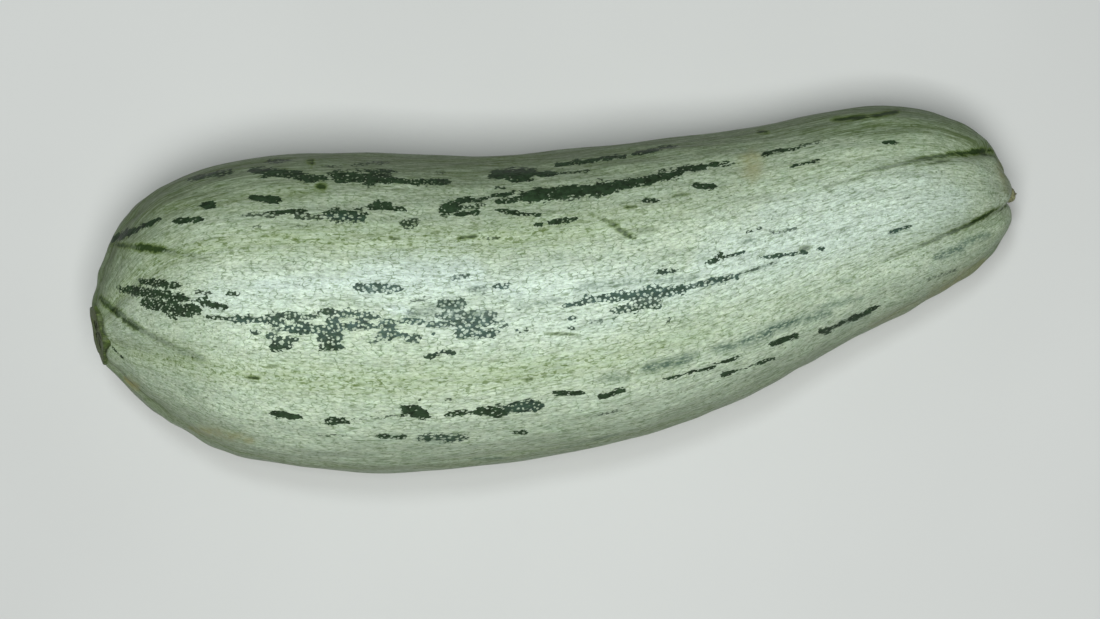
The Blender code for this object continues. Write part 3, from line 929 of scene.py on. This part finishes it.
@dataclass(frozen=True)
class FruitForm:
    """The shape of the body, with the sizes of the solid."""

    length: float = 0.2974
    line_degree: int = 8
    line_steps: int = 400
    width_degree: int = 10
    height_share: float = 0.96
    rest_depth: float = 0.0008
    lobes: int = 7
    first_furrow: float = math.radians(26.5)
    crest_share: float = 0.008
    furrow_width: float = 0.0024
    stem_reach: float = 0.0300
    blossom_reach: float = 0.0450
    shoulder: float = 0.0150
    furthest_swing: float = math.radians(30)
    shift: tuple[float, float] = (-0.1481, -0.0069)

    def line(self, along: np.ndarray) -> np.ndarray:
        """The middle of the section at some distances.

        Args:
            along: distances from the stem pole.

        Returns:
            A place for each, in the model's frame.
        """
        distances, sideways, height = np.array(LINE).T
        sideways = np.polynomial.Polynomial.fit(distances, sideways, self.line_degree)
        height = np.polynomial.Polynomial.fit(distances, height, self.line_degree)
        places = (along + self.shift[0], sideways(along) + self.shift[1], height(along) - self.rest_depth)
        return np.column_stack(places)

    def middle_run(self, along: np.ndarray) -> np.ndarray:
        """How far the middle line runs from the stem pole.

        Args:
            along: distances from the stem pole.

        Returns:
            The run of the line to each.
        """
        steps = np.linspace(0.0, self.length, self.line_steps)
        parts = np.linalg.norm(np.diff(self.line(steps), axis=0), axis=1)
        return np.interp(along, steps, np.concatenate(([0.0], np.cumsum(parts))))

    def half_width(self, along: np.ndarray) -> np.ndarray:
        """Half of the body's width.

        Args:
            along: distances from the stem pole.

        Returns:
            The half width at each.
        """
        distances, widths = np.array(WIDTHS).T
        rounding = np.sqrt(distances * (self.length - distances))
        fullness = np.polynomial.Polynomial.fit(distances, widths / rounding, self.width_degree)
        return fullness(along) * np.sqrt(np.maximum(0.0, along * (self.length - along)))

    def axes(self, along: np.ndarray) -> tuple[np.ndarray, np.ndarray, np.ndarray]:
        """Unit vectors of the sections: along the fruit, to its +Y side, and up.

        Args:
            along: distances from the stem pole.

        Returns:
            Three arrays with a row for each distance.
        """
        step = 0.0005
        forward = self.line(along + step) - self.line(along - step)
        forward /= np.linalg.norm(forward, axis=1, keepdims=True)
        side = np.column_stack((-forward[:, 1], forward[:, 0], np.zeros(len(forward))))
        side /= np.linalg.norm(side, axis=1, keepdims=True)
        return forward, side, np.cross(forward, side)

    def body(self, along: np.ndarray, azimuth: np.ndarray) -> np.ndarray:
        """Points of the body without its furrows.

        Args:
            along: distances from the stem pole.
            azimuth: turns round the body, 0 at the top and a quarter turn at the +Y side.

        Returns:
            The points, a row each.
        """
        crest = 1 - self.crest_share * np.cos(self.lobes * (azimuth - self.first_furrow))
        _, side, up = self.axes(along)
        across = np.sin(azimuth)[:, None] * side + self.height_share * np.cos(azimuth)[:, None] * up
        return self.line(along) + (self.half_width(along) * crest)[:, None] * across

    def from_furrow(self, along: np.ndarray, azimuth: np.ndarray, number: int) -> np.ndarray:
        """The turn from one furrow, between minus and plus half a turn.

        Args:
            along: distances from the stem pole.
            azimuth: turns round the body.
            number: which furrow.

        Returns:
            The turns. Where the blossom end narrows, the first furrow keeps its distance from the middle
            line.
        """
        width = np.maximum(self.half_width(along), 1e-6)
        swing = np.arcsin(np.minimum(1.0, self.shoulder / width)) - self.first_furrow
        swing = np.where(along > self.length / 2, np.clip(swing, 0.0, self.furthest_swing), 0.0)
        return wrap(azimuth - self.first_furrow - number * TAU / self.lobes - SWING_SHARES[number] * swing)

    def furrows(self, along: np.ndarray, azimuth: np.ndarray) -> np.ndarray:
        """How deep the furrows are.

        Args:
            along: distances from the stem pole.
            azimuth: turns round the body.

        Returns:
            The depths, one for each point.
        """
        width = self.half_width(along)
        deepest = np.zeros(len(along))
        for number in range(self.lobes):
            turn = self.from_furrow(along, azimuth, number)
            for depth, reach, from_end in (
                (STEM_FURROWS[number], self.stem_reach, along),
                (BLOSSOM_FURROWS[number], self.blossom_reach, self.length - along),
            ):
                off_line = width * turn / (self.furrow_width * (1 + from_end / reach))
                deepest = np.maximum(deepest, depth * np.exp(-(off_line**2) - (from_end / reach) ** 2))
        return deepest

    def pole(self, along: float, outwards: float) -> Matrix:
        """A matrix that stands +Z on a pole of the body.

        Args:
            along: the distance of the pole.
            outwards: -1 at the stem and 1 at the blossom.

        Returns:
            The matrix, in the model's frame.
        """
        forward = Vector(self.axes(np.array([along]))[0][0])
        turned = (outwards * forward).to_track_quat("Z", "Y").to_matrix().to_4x4()
        return Matrix.Translation(self.line(np.array([along]))[0]) @ turned


@dataclass(frozen=True)
class HiddenMarks:
    """Marks for the sides that the photograph doesn't show, in rows along the lobes."""

    seed: int = 11
    rows: tuple[float, ...] = (97, 112, 128, 152, 166, 190, 208, 232, 248, 263)
    per_row: int = 13
    first: float = 0.020
    last: float = 0.280
    widest: float = 2.6 * MM

    def strokes(self) -> list[tuple[float, float, float, float, float]]:
        """Draws the marks.

        Returns:
            A row for each: start and length along the skin, azimuth, half width, and strength.
        """
        chance = np.random.default_rng(self.seed)
        made = []
        for row in self.rows:
            weight = chance.uniform(0.4, 1.0)
            for _ in range(self.per_row):
                start = chance.uniform(self.first, self.last)
                run = chance.uniform(0.004, 0.012) + chance.exponential(0.010) * weight
                turn = math.radians(row + chance.normal(0, 3.0))
                half = (0.4 + chance.exponential(0.65) * weight) * MM
                made.append((start, run, turn, min(half, self.widest), chance.uniform(0.55, 1.0)))
        return made


@dataclass
class SkinPoints:
    """The points of the fruit's skin, with one row of each array for each of them."""

    along: np.ndarray  # distance from the stem pole
    arc: np.ndarray  # the same along the skin
    azimuth: np.ndarray  # turn round the body, 0 at the top
    width: np.ndarray  # half width of the body there
    pixels: np.ndarray  # where the photograph shows it
    facing: np.ndarray  # how squarely it faces the camera


@dataclass
class Markings:
    """Works out the traits of the skin at each of its points."""

    form: FruitForm
    skin: SkinPoints
    pixels_per_mm: float = 3.08
    stroke_margin: float = 12.0
    outermost: float = 3.0
    plain_strength: float = 0.8
    hiding: float = 2.5
    stem_face: tuple[float, float] = (0.013, 0.006)
    blossom_face: tuple[float, float] = (0.014, 0.007)
    steep_gain: float = 0.25
    crease_half: float = 0.9
    crease_strength: float = 0.85
    crease_run: tuple[float, float] = (0.024, 0.006)
    crease_narrowing: float = 0.009
    # how dark the painted shade is on the +Y and -Y sides, and at both ends
    painted_side_shades: tuple[float, float] = (0.90, 0.52)
    painted_end_shade: float = 0.29
    band_weights: tuple[float, ...] = (1.0, 0.7, 0.85, 0.8, 0.7, 0.9, 1.0)
    band_spread: tuple[float, float] = (0.0042, 0.0062)

    @staticmethod
    def inside(points: np.ndarray, stroke: tuple[float, ...]) -> tuple[np.ndarray, np.ndarray]:
        """How far points are inside a pointed stroke.

        Args:
            points: rows of x and y.
            stroke: start x, start y, end x, end y and half width.

        Returns:
            The distance inside its edge, below 0 outside, and the distance from its middle line.
        """
        start, end = np.array(stroke[:2], float), np.array(stroke[2:4], float)
        run = end - start
        share = np.clip((points - start) @ run / max(float(run @ run), 1e-12), 0, 1)
        off_line = np.linalg.norm(points - start - share[:, None] * run, axis=1)
        taper = np.sqrt(np.maximum(0.0, 1 - np.abs(2 * share - 1) ** 5))
        tip = 0.35  # how wide a stroke's ends are, as a share of its middle
        return stroke[4] * (tip + (1 - tip) * taper) - off_line, off_line

    @staticmethod
    def as_edge(inside_mm: np.ndarray, half_mm: float) -> np.ndarray:
        """Scales the distance inside a stroke, so that a wide one frays more than a narrow one."""
        return inside_mm / (0.22 + 0.45 * half_mm)

    @staticmethod
    def keep(
        marks: tuple[np.ndarray, np.ndarray], where: np.ndarray, value: np.ndarray, power: object
    ) -> None:
        """Keeps a mark where points are further inside it than inside those before it.

        Args:
            marks: the edge values and the strengths so far, which are changed.
            where: the numbers of the points that it reaches.
            value: its edge value at each of them.
            power: its strength, or its strength at each of them.
        """
        edge, strength = marks
        better = value > edge[where]
        edge[where[better]] = value[better]
        strength[where[better]] = np.broadcast_to(power, value.shape)[better]

    def near(self, row: tuple[float, ...]) -> np.ndarray:
        """The numbers of the seen points within reach of a stroke.

        Args:
            row: the stroke.

        Returns:
            Their numbers.
        """
        pixels, reach = self.skin.pixels, 3 * row[4] + self.stroke_margin
        low = (min(row[0], row[2]) - reach, min(row[1], row[3]) - reach)
        high = (max(row[0], row[2]) + reach, max(row[1], row[3]) + reach)
        return np.flatnonzero(((pixels > low) & (pixels < high)).all(axis=1) & (self.skin.facing > 0))

    def seen_marks(self, rows: Strokes) -> tuple[np.ndarray, np.ndarray]:
        """The marks that the photograph shows.

        Args:
            rows: the strokes.

        Returns:
            The edge value, above 0 inside a mark, and the strength of the nearest mark.
        """
        along, facing, length = self.skin.along, self.skin.facing, self.form.length
        edge, strength = np.full(len(along), -self.outermost), np.full(len(along), self.plain_strength)
        ends = 0.7 * smooth_step(along, *self.stem_face) + smooth_step(length - along, *self.blossom_face)
        hidden = self.hiding * (1 - smooth_step(facing / (0.1 + 0.4 * ends), 0.0, 1.0))
        steeper = self.steep_gain * (1 - smooth_step(facing, 0.25, 0.65))
        for row in rows:
            near = self.near(row)
            off_edge = self.inside(self.skin.pixels[near], row)[0] / self.pixels_per_mm
            value = self.as_edge(off_edge, row[4] / self.pixels_per_mm) - hidden[near]
            self.keep((edge, strength), near, value, row[5] + steeper[near])
        return np.clip(edge, -self.outermost, self.outermost), strength

    def hidden_marks(self, edge: np.ndarray, strength: np.ndarray) -> None:
        """Adds the dark marks of the sides that the photograph doesn't show.

        Args:
            edge: the edge values so far, which are changed.
            strength: the strengths so far, which are changed.
        """
        skin = self.skin
        unseen = np.flatnonzero(skin.facing < 0.3)
        fade = self.hiding * smooth_step(skin.facing[unseen], 0.05, 0.3)
        for start, run, turn, half, power in HiddenMarks().strokes():
            round_body = skin.width[unseen] * wrap(skin.azimuth[unseen] - turn)
            points = np.column_stack((skin.arc[unseen], round_body)) / MM
            value = self.inside(points, (start / MM, 0, (start + run) / MM, 0, half / MM))[0]
            self.keep((edge, strength), unseen, self.as_edge(value, half / MM) - fade, power)

    def creases(self, edge: np.ndarray, strength: np.ndarray) -> None:
        """Carries the moss on down the furrows to the blossom scar, where the photograph doesn't show it.

        Args:
            edge: the edge values so far, which are changed.
            strength: the strengths so far, which are changed.
        """
        skin = self.skin
        half = self.crease_half * smooth_step(self.form.length - skin.along, *self.crease_run)
        half = half * np.minimum(1.0, skin.width / self.crease_narrowing)
        fade = self.hiding * smooth_step(skin.facing, 0.20, 0.45)
        everywhere = np.arange(len(half))
        for number in range(self.form.lobes):
            off_line = np.abs(skin.width * self.form.from_furrow(skin.along, skin.azimuth, number)) / MM
            value = self.as_edge(half - off_line, self.crease_half) - fade
            self.keep((edge, strength), everywhere, value, self.crease_strength)

    def soft(self, rows: Strokes) -> np.ndarray:
        """Soft marks, which fade from their middle line.

        Args:
            rows: the strokes.

        Returns:
            Their strength at each point.
        """
        amount = np.zeros(len(self.skin.along))
        for row in rows:
            near = self.near(row)
            inside, off_line = self.inside(self.skin.pixels[near], row)
            spread = np.maximum(inside + off_line, 0.35 * row[4])
            value = row[5] * np.exp(-((off_line / (1.1 * spread)) ** 2))
            amount[near] = np.maximum(amount[near], value)
        return amount * smooth_step(self.skin.facing, 0.0, 0.15)

    def shade(self) -> np.ndarray:
        """Painted shade where less light falls: the sides, most of all the +Y side, both ends, and patches
        in the photograph.

        Returns:
            How dark each point is.
        """
        along, turned = self.skin.along, wrap(self.skin.azimuth)
        # each side's painted shade sets in below the crest, and fades again towards the belly
        left = smooth_step(turned, math.radians(8), math.radians(72)) * smooth_step(turned, 2.6, 1.9)
        right = smooth_step(turned, math.radians(-24), math.radians(-85)) * smooth_step(turned, -2.6, -1.9)
        ends = self.painted_end_shade * (smooth_step(along, 0.055, 0.0) + smooth_step(along, 0.225, 0.290))
        sides = self.painted_side_shades[0] * left + self.painted_side_shades[1] * right
        return np.maximum(sides + ends * (1 - sides), self.soft(PAINTED_SHADE_MARKS))

    def bands(self) -> np.ndarray:
        """The green bands that follow the furrows, and the patches of them in the photograph.

        Returns:
            How green each point is.
        """
        skin, (least, most) = self.skin, self.band_spread
        spread = least + (most - least) * smooth_step(skin.along, 0.0, 0.1)
        amount = np.zeros(len(skin.along))
        for number, weight in enumerate(self.band_weights):
            off_line = skin.width * self.form.from_furrow(skin.along, skin.azimuth, number)
            amount = np.maximum(amount, weight * np.exp(-((off_line / spread) ** 2)))
        amount = amount * (1 - 0.65 * smooth_step(skin.along, 0.140, 0.200))
        return np.maximum(amount, self.soft(BAND_MARKS))

    def streaked(self) -> np.ndarray:
        """Where fine lines take the place of the cell net: at both ends and down the sides.

        Returns:
            How far they take it at each point.
        """
        along, turned = self.skin.along, np.abs(wrap(self.skin.azimuth))
        ends = np.maximum(0.6 * smooth_step(along, 0.160, 0.235), 0.35 * smooth_step(along, 0.050, 0.012))
        sides = 0.7 * smooth_step(turned, math.radians(28), math.radians(62))
        return 0.3 + 0.7 * np.maximum(ends, sides)

    def belly(self) -> np.ndarray:
        """The yellowish patch on which the fruit lay while it grew.

        Returns:
            How yellow each point is.
        """
        along, turned = self.skin.along, np.abs(wrap(self.skin.azimuth))
        across = smooth_step(turned, math.radians(128), math.radians(165))
        return across * smooth_step(along, 0.015, 0.07) * smooth_step(along, 0.270, 0.200)


@dataclass
class Fruit:
    """The fruit's body and skin."""

    form: FruitForm
    camera: PhotoCamera
    sides: int = 320
    rings: int = 300
    run_steps: int = 3000
    table_steps: int = 2000
    crowding: float = 0.42
    end_spacing: tuple[float, float, float] = (0.00060, 0.00140, 0.00085)
    stem_zone: tuple[float, float] = (0.075, 0.045)
    blossom_zone: tuple[float, float] = (0.070, 0.040)
    seat_depth: float = 0.0007
    well_depth: float = 0.0032
    well_radius: float = 0.0080
    well_wall: float = 0.0006
    collar_radius: float = 0.0098
    collar_width: float = 0.0030
    collar_rise: float = 0.0009
    seat_reach: float = 0.02
    seat_softness: float = 0.0002
    rest_reach: float = 0.002
    rest_softness: float = 0.0003
    dent: float = 0.00022
    waves: int = 14
    wave_stretch: tuple[float, float, float] = (0.7, 1.6, 1.6)
    wave_lengths: tuple[float, float] = (0.022, 0.050)
    seed: int = 3

    def ball(self) -> bmesh.types.BMesh:
        """Rolls a grid to a ball with its poles on the Z axis, and merges it at its seam and poles.

        Returns:
            The closed ball, with a radius of 1.
        """
        shape = bmesh.new()
        bmesh.ops.create_grid(shape, x_segments=self.sides, y_segments=self.rings, size=1)
        flat = np.array([vertex.co[:] for vertex in shape.verts])
        turn, drop = math.pi * (flat[:, 0] + 1), math.pi * (flat[:, 1] + 1) / 2
        points = (np.sin(drop) * np.cos(turn), np.sin(drop) * np.sin(turn), np.cos(drop))
        place_vertices(shape, np.column_stack(points))
        seam = [vertex for vertex in shape.verts if vertex.is_boundary]
        bmesh.ops.remove_doubles(shape, verts=seam, dist=1e-6)
        return shape

    def runs(self) -> tuple[np.ndarray, np.ndarray]:
        """How far the skin runs over the top.

        Returns:
            Distances from the stem pole, and the run of the skin to each.
        """
        steps = self.form.length * (1 - np.cos(np.linspace(0, math.pi, self.run_steps))) / 2
        top = self.form.body(steps, np.zeros(len(steps)))
        return steps, np.concatenate(([0.0], np.cumsum(np.linalg.norm(np.diff(top, axis=0), axis=1))))

    def places(self, shape: bmesh.types.BMesh) -> tuple[np.ndarray, np.ndarray, np.ndarray]:
        """Where the vertices of a ball go: rings closer together at the ends, and points closer on top.

        Args:
            shape: a ball with a radius of 1, its poles on the Z axis.

        Returns:
            The distance from the stem pole, the same along the skin, and the azimuth for each vertex.
        """
        ball = np.array([vertex.co[:] for vertex in shape.verts])
        turn = np.arctan2(ball[:, 1], ball[:, 0])
        azimuth = turn - self.crowding * np.sin(turn)
        share = np.arccos(np.clip(ball[:, 2], -1, 1)) / math.pi
        steps, run = self.runs()
        table = np.linspace(0.0, run[-1], self.table_steps)
        stem, middle, blossom = self.end_spacing
        spacing = middle - (middle - stem) * smooth_step(table, *self.stem_zone)
        zone = (run[-1] - edge for edge in self.blossom_zone)
        spacing -= (middle - blossom) * smooth_step(table, *zone)
        count = np.concatenate(([0.0], np.cumsum(1 / spacing[1:])))
        arc = np.interp(share, count / count[-1], table)
        return np.interp(arc, run, steps), arc, azimuth

    def dents(self, points: np.ndarray) -> np.ndarray:
        """Gentle uneven growth.

        Args:
            points: rows in the model's frame.

        Returns:
            The height above the smooth body at each.
        """
        chance = np.random.default_rng(self.seed)
        height = np.zeros(len(points))
        for _ in range(self.waves):
            direction = chance.normal(size=3) * self.wave_stretch
            wave = chance.uniform(*self.wave_lengths)
            height += np.cos(points @ direction * TAU / wave + chance.uniform(0, TAU))
        return self.dent * height / math.sqrt(self.waves / 2)

    def seat(self, points: np.ndarray) -> np.ndarray:
        """Raises a collar round the stem, sinks a well under it, and rounds off the resting spot.

        Args:
            points: rows in the model's frame.

        Returns:
            The moved points.
        """
        pole = np.array(self.form.pole(0.0, -1))
        inverse = np.linalg.inv(pole)
        local = points @ inverse[:3, :3].T + inverse[:3, 3]
        radius = np.hypot(local[:, 0], local[:, 1])
        near = (radius < self.seat_reach) & (local[:, 2] > -self.seat_reach)
        off_rim = np.maximum(0.0, radius - self.collar_radius) / self.collar_width
        local[near, 2] += self.collar_rise * np.exp(-(off_rim[near] ** 2))
        in_well = smooth_step(radius, self.well_radius + self.well_wall, self.well_radius)
        over = local[:, 2] + self.seat_depth + (self.well_depth - self.seat_depth) * in_well
        local[near, 2] -= (over[near] + np.sqrt(over[near] ** 2 + self.seat_softness**2)) / 2
        points = local @ pole[:3, :3].T + pole[:3, 3]
        low = points[:, 2] < self.rest_reach
        points[low, 2] = (points[low, 2] + np.sqrt(points[low, 2] ** 2 + self.rest_softness**2)) / 2
        return points

    def build(self) -> bpy.types.Object:
        """Builds the fruit and stores the traits that its material reads.

        Returns:
            The piece.
        """
        shape = self.ball()
        along, arc, azimuth = self.places(shape)
        points = self.form.body(along, azimuth)
        place_vertices(shape, points)
        turn_outwards(shape)
        relief_height = self.dents(points) - self.form.furrows(along, azimuth)
        points = self.seat(points + vertex_normals(shape) * relief_height[:, None])
        place_vertices(shape, points)
        shape.normal_update()
        facing = self.camera.facing(points, vertex_normals(shape))
        width, pixels = self.form.half_width(along), self.camera.pixels(points)
        piece = add_piece("fruit_skin", shape, SkinFinish().make())
        self.store_traits(piece.data, SkinPoints(along, arc, azimuth, width, pixels, facing))
        self.store_map(piece.data, arc, azimuth)
        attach(piece, "root")
        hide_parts("fruit")
        LOG.info("fruit_skin: %d vertices", len(points))
        return piece

    def store_map(self, mesh: bpy.types.Mesh, arc: np.ndarray, azimuth: np.ndarray) -> None:
        """Lays the skin out flat in a UV map, with its seam under the belly.

        Args:
            mesh: the fruit's mesh.
            arc: how far along the skin its vertices are.
            azimuth: their turn round the body.
        """
        corners = np.empty(len(mesh.loops), dtype=np.int32)
        starts = np.empty(len(mesh.polygons), dtype=np.int32)
        mesh.loops.foreach_get("vertex_index", corners)
        mesh.polygons.foreach_get("loop_start", starts)
        totals = np.diff(np.append(starts, len(corners)))
        turn, run = azimuth[corners], arc[corners]
        spread = np.maximum.reduceat(turn, starts) - np.minimum.reduceat(turn, starts)
        turn = np.where(np.repeat(spread > math.pi, totals) & (turn < 0), turn + TAU, turn)
        pole = (run < 1e-7) | (run > arc.max() - 1e-7)
        known = np.add.reduceat(np.where(pole, 0.0, turn), starts)
        known /= np.add.reduceat((~pole).astype(float), starts)
        turn = np.where(pole, np.repeat(known, totals), turn)
        flat = np.column_stack((run / MAP_RUN, turn / TAU + 0.5))
        mesh.uv_layers.new(name=Trait.SKIN_MAP.value).data.foreach_set("uv", flat.ravel())

    def store_traits(self, mesh: bpy.types.Mesh, skin: SkinPoints) -> None:
        """Stores where each point is on the body, and what marks it carries.

        Args:
            mesh: the fruit's mesh.
            skin: its points.
        """
        markings = Markings(self.form, skin)
        across, up = np.sin(skin.azimuth), np.cos(skin.azimuth)
        dark, dark_strength = markings.seen_marks(DARK_MARKS)
        markings.hidden_marks(dark, dark_strength)
        moss, moss_strength = markings.seen_marks(MOSS_MARKS)
        markings.creases(moss, moss_strength)
        unbent = (self.form.middle_run(skin.along), skin.width * across, skin.width * up)
        traits = {
            Trait.UNBENT: np.column_stack(unbent),
            Trait.MERIDIAN: np.column_stack((skin.arc, MEAN_RADIUS * across, MEAN_RADIUS * up)),
            Trait.DARK: dark,
            Trait.DARK_STRENGTH: dark_strength,
            Trait.MOSS: moss,
            Trait.MOSS_STRENGTH: moss_strength,
            Trait.STAIN: markings.soft(STAIN_MARKS),
            Trait.PAINTED_SHADE: markings.shade(),
            Trait.SMUDGE: markings.soft(SMUDGE_MARKS),
            Trait.PAINTED_HIGHLIGHT: markings.soft(PAINTED_HIGHLIGHT_MARKS),
            Trait.PAINTED_SHEEN: markings.soft(PAINTED_SHEEN_MARKS),
            Trait.BAND: markings.bands(),
            Trait.STREAKED: markings.streaked(),
            Trait.BELLY: markings.belly(),
        }
        for trait, values in traits.items():
            store(mesh, trait, values)


@dataclass
class CutStem:
    """What is left of the stem: a ribbed disc with a dished cut face."""

    form: FruitForm
    radius: float = 0.0092
    ribs: int = 5
    rib_depth: float = 0.0009
    uneven: tuple[float, float] = (0.00016, 0.00012)
    sunk: float = 0.0050
    proud: float = -0.0005
    dish: float = 0.0006
    dish_steps: tuple[float, ...] = (0.0, 0.1, 0.25, 0.3, 0.2, 0.1, 0.05, 0.0)
    sides: int = 120
    edge: float = 0.0005

    def outline(self, shape: bmesh.types.BMesh) -> None:
        """Lays a circle's vertices on the ribbed outline, at the foot of the disc.

        Args:
            shape: the circle, which is changed.
        """
        for vertex in shape.verts:
            angle = math.atan2(vertex.co.y, vertex.co.x)
            wobble = self.uneven[0] * math.cos(9 * angle + 1.0) + self.uneven[1] * math.cos(14 * angle)
            reach = self.radius + self.rib_depth * math.cos(self.ribs * angle) + wobble
            vertex.co = Vector((math.cos(angle) * reach, math.sin(angle) * reach, -self.sunk))

    def build(self) -> bpy.types.Object:
        """Builds the stem.

        Returns:
            The piece.
        """
        shape = bmesh.new()
        bmesh.ops.create_circle(shape, cap_ends=True, segments=self.sides, radius=1)
        self.outline(shape)
        raised = bmesh.ops.extrude_face_region(shape, geom=shape.faces[:])["geom"]
        rim = [item for item in raised if isinstance(item, bmesh.types.BMVert)]
        bmesh.ops.translate(shape, verts=rim, vec=(0, 0, self.proud + self.sunk))
        face = next(item for item in raised if isinstance(item, bmesh.types.BMFace))
        turn_outwards(shape)
        bmesh.ops.bevel(
            shape,
            geom=list(face.edges),
            affect="EDGES",
            offset=self.edge,
            segments=3,
            profile=0.5,
            material=-1,
        )
        shape.faces.ensure_lookup_table()
        face = max(shape.faces, key=lambda item: item.calc_center_median().z)
        face.material_index = 1
        share = self.radius / (len(self.dish_steps) + 1)
        for drop in self.dish_steps:
            bmesh.ops.inset_individual(shape, faces=[face], thickness=share, depth=-self.dish * drop)
        bmesh.ops.poke(shape, faces=[face])
        bmesh.ops.transform(shape, matrix=self.form.pole(0.0, -1), verts=shape.verts)
        turn_outwards(shape)
        piece = add_piece("stem_disc", shape, RindFinish().make(), CutFinish().make())
        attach(piece, "root")
        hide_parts("cut_stem")
        LOG.info("stem_disc: %d vertices", len(piece.data.vertices))
        return piece


@dataclass
class BlossomScar:
    """The dry bead in the pucker at the narrow end."""

    form: FruitForm
    radius: float = 0.0026
    sunk: float = 0.0045
    proud: float = 0.0016
    sides: int = 48
    lobe_share: float = 0.06
    ripple_share: float = 0.03
    crater: float = 0.00055

    def build(self) -> bpy.types.Object:
        """Builds the scar.

        Returns:
            The piece.
        """
        shape = bmesh.new()
        rings = self.sides // 2
        bmesh.ops.create_uvsphere(shape, u_segments=self.sides, v_segments=rings, radius=self.radius)
        for vertex in shape.verts:
            angle = math.atan2(vertex.co.y, vertex.co.x)
            ring = math.hypot(vertex.co.x, vertex.co.y) / self.radius
            lobes = self.lobe_share * ring * math.cos(5 * angle)
            lump = 1 + lobes + self.ripple_share * ring * math.cos(11 * angle + 2)
            vertex.co.x *= lump
            vertex.co.y *= lump
            if vertex.co.z > 0:
                dip = math.exp(-((ring / 0.45) ** 2)) - 1.7 * math.exp(-((ring / 0.16) ** 2))
                vertex.co.z -= self.crater * dip
            else:
                vertex.co.z *= self.sunk / self.radius * 0.6
        bmesh.ops.translate(shape, verts=shape.verts, vec=(0, 0, self.proud - self.radius))
        bmesh.ops.transform(shape, matrix=self.form.pole(self.form.length, 1), verts=shape.verts)
        turn_outwards(shape)
        piece = add_piece("blossom_bead", shape, CorkFinish().make())
        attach(piece, "root")
        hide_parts("blossom_scar")
        LOG.info("blossom_bead: %d vertices", len(piece.data.vertices))
        return piece


@dataclass(frozen=True)
class Lamp:
    """A square soft light that points at the fruit."""

    name: str
    place: tuple[float, float, float]
    size: float
    power: float
    colour: Colour
    target: tuple[float, float, float] = (0, 0, 0.05)

    def build(self) -> None:
        """Hangs the light in its place."""
        data = bpy.data.lights.new(self.name, "AREA")
        data.shape, data.size, data.energy, data.color = "SQUARE", self.size, self.power, self.colour
        lamp = bpy.data.objects.new(self.name, data)
        lamp.location = self.place
        aim = Vector(self.target) - Vector(self.place)
        lamp.rotation_mode = "QUATERNION"
        lamp.rotation_quaternion = aim.to_track_quat("-Z", "Y")
        bpy.context.scene.collection.objects.link(lamp)


@dataclass
class Studio:
    """A plain pale floor and soft light from above."""

    floor_size: float = 4.0
    lamps: tuple[Lamp, ...] = (
        Lamp("key_light", (-0.02, -0.15, 1.30), 0.45, 14.5, (0.97, 1.0, 0.985)),
        Lamp("sheen_light", (-0.08, 0.20, 1.30), 0.14, 3.4, (0.92, 0.99, 1.0)),
    )
    sky: float = 0.04
    sky_colour: Colour = (0.97, 1.0, 0.97)

    def build(self) -> None:
        """Makes the floor, the lights and the sky."""
        shape = bmesh.new()
        bmesh.ops.create_grid(shape, x_segments=2, y_segments=2, size=self.floor_size / 2)
        floor = add_piece("floor", shape, FloorFinish().make())
        for lamp in self.lamps:
            lamp.build()
        world = bpy.data.worlds.new("studio_air")
        world.use_nodes = True
        world.node_tree.nodes["Background"].inputs["Color"].default_value = (*self.sky_colour, 1)
        world.node_tree.nodes["Background"].inputs["Strength"].default_value = self.sky
        bpy.context.scene.world = world
        bpy.context.scene.view_settings.view_transform = "Standard"
        LOG.info("studio: floor, two lights and a pale sky")


def main() -> None:
    """Builds the pieces in order."""
    logging.basicConfig(level=logging.INFO, format="%(message)s")
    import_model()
    camera = PhotoCamera()
    camera.build()
    EffectShelf().build()
    form = FruitForm()
    Fruit(form, camera).build()
    CutStem(form).build()
    BlossomScar(form).build()
    Studio().build()


if __name__ == "__main__":
    main()
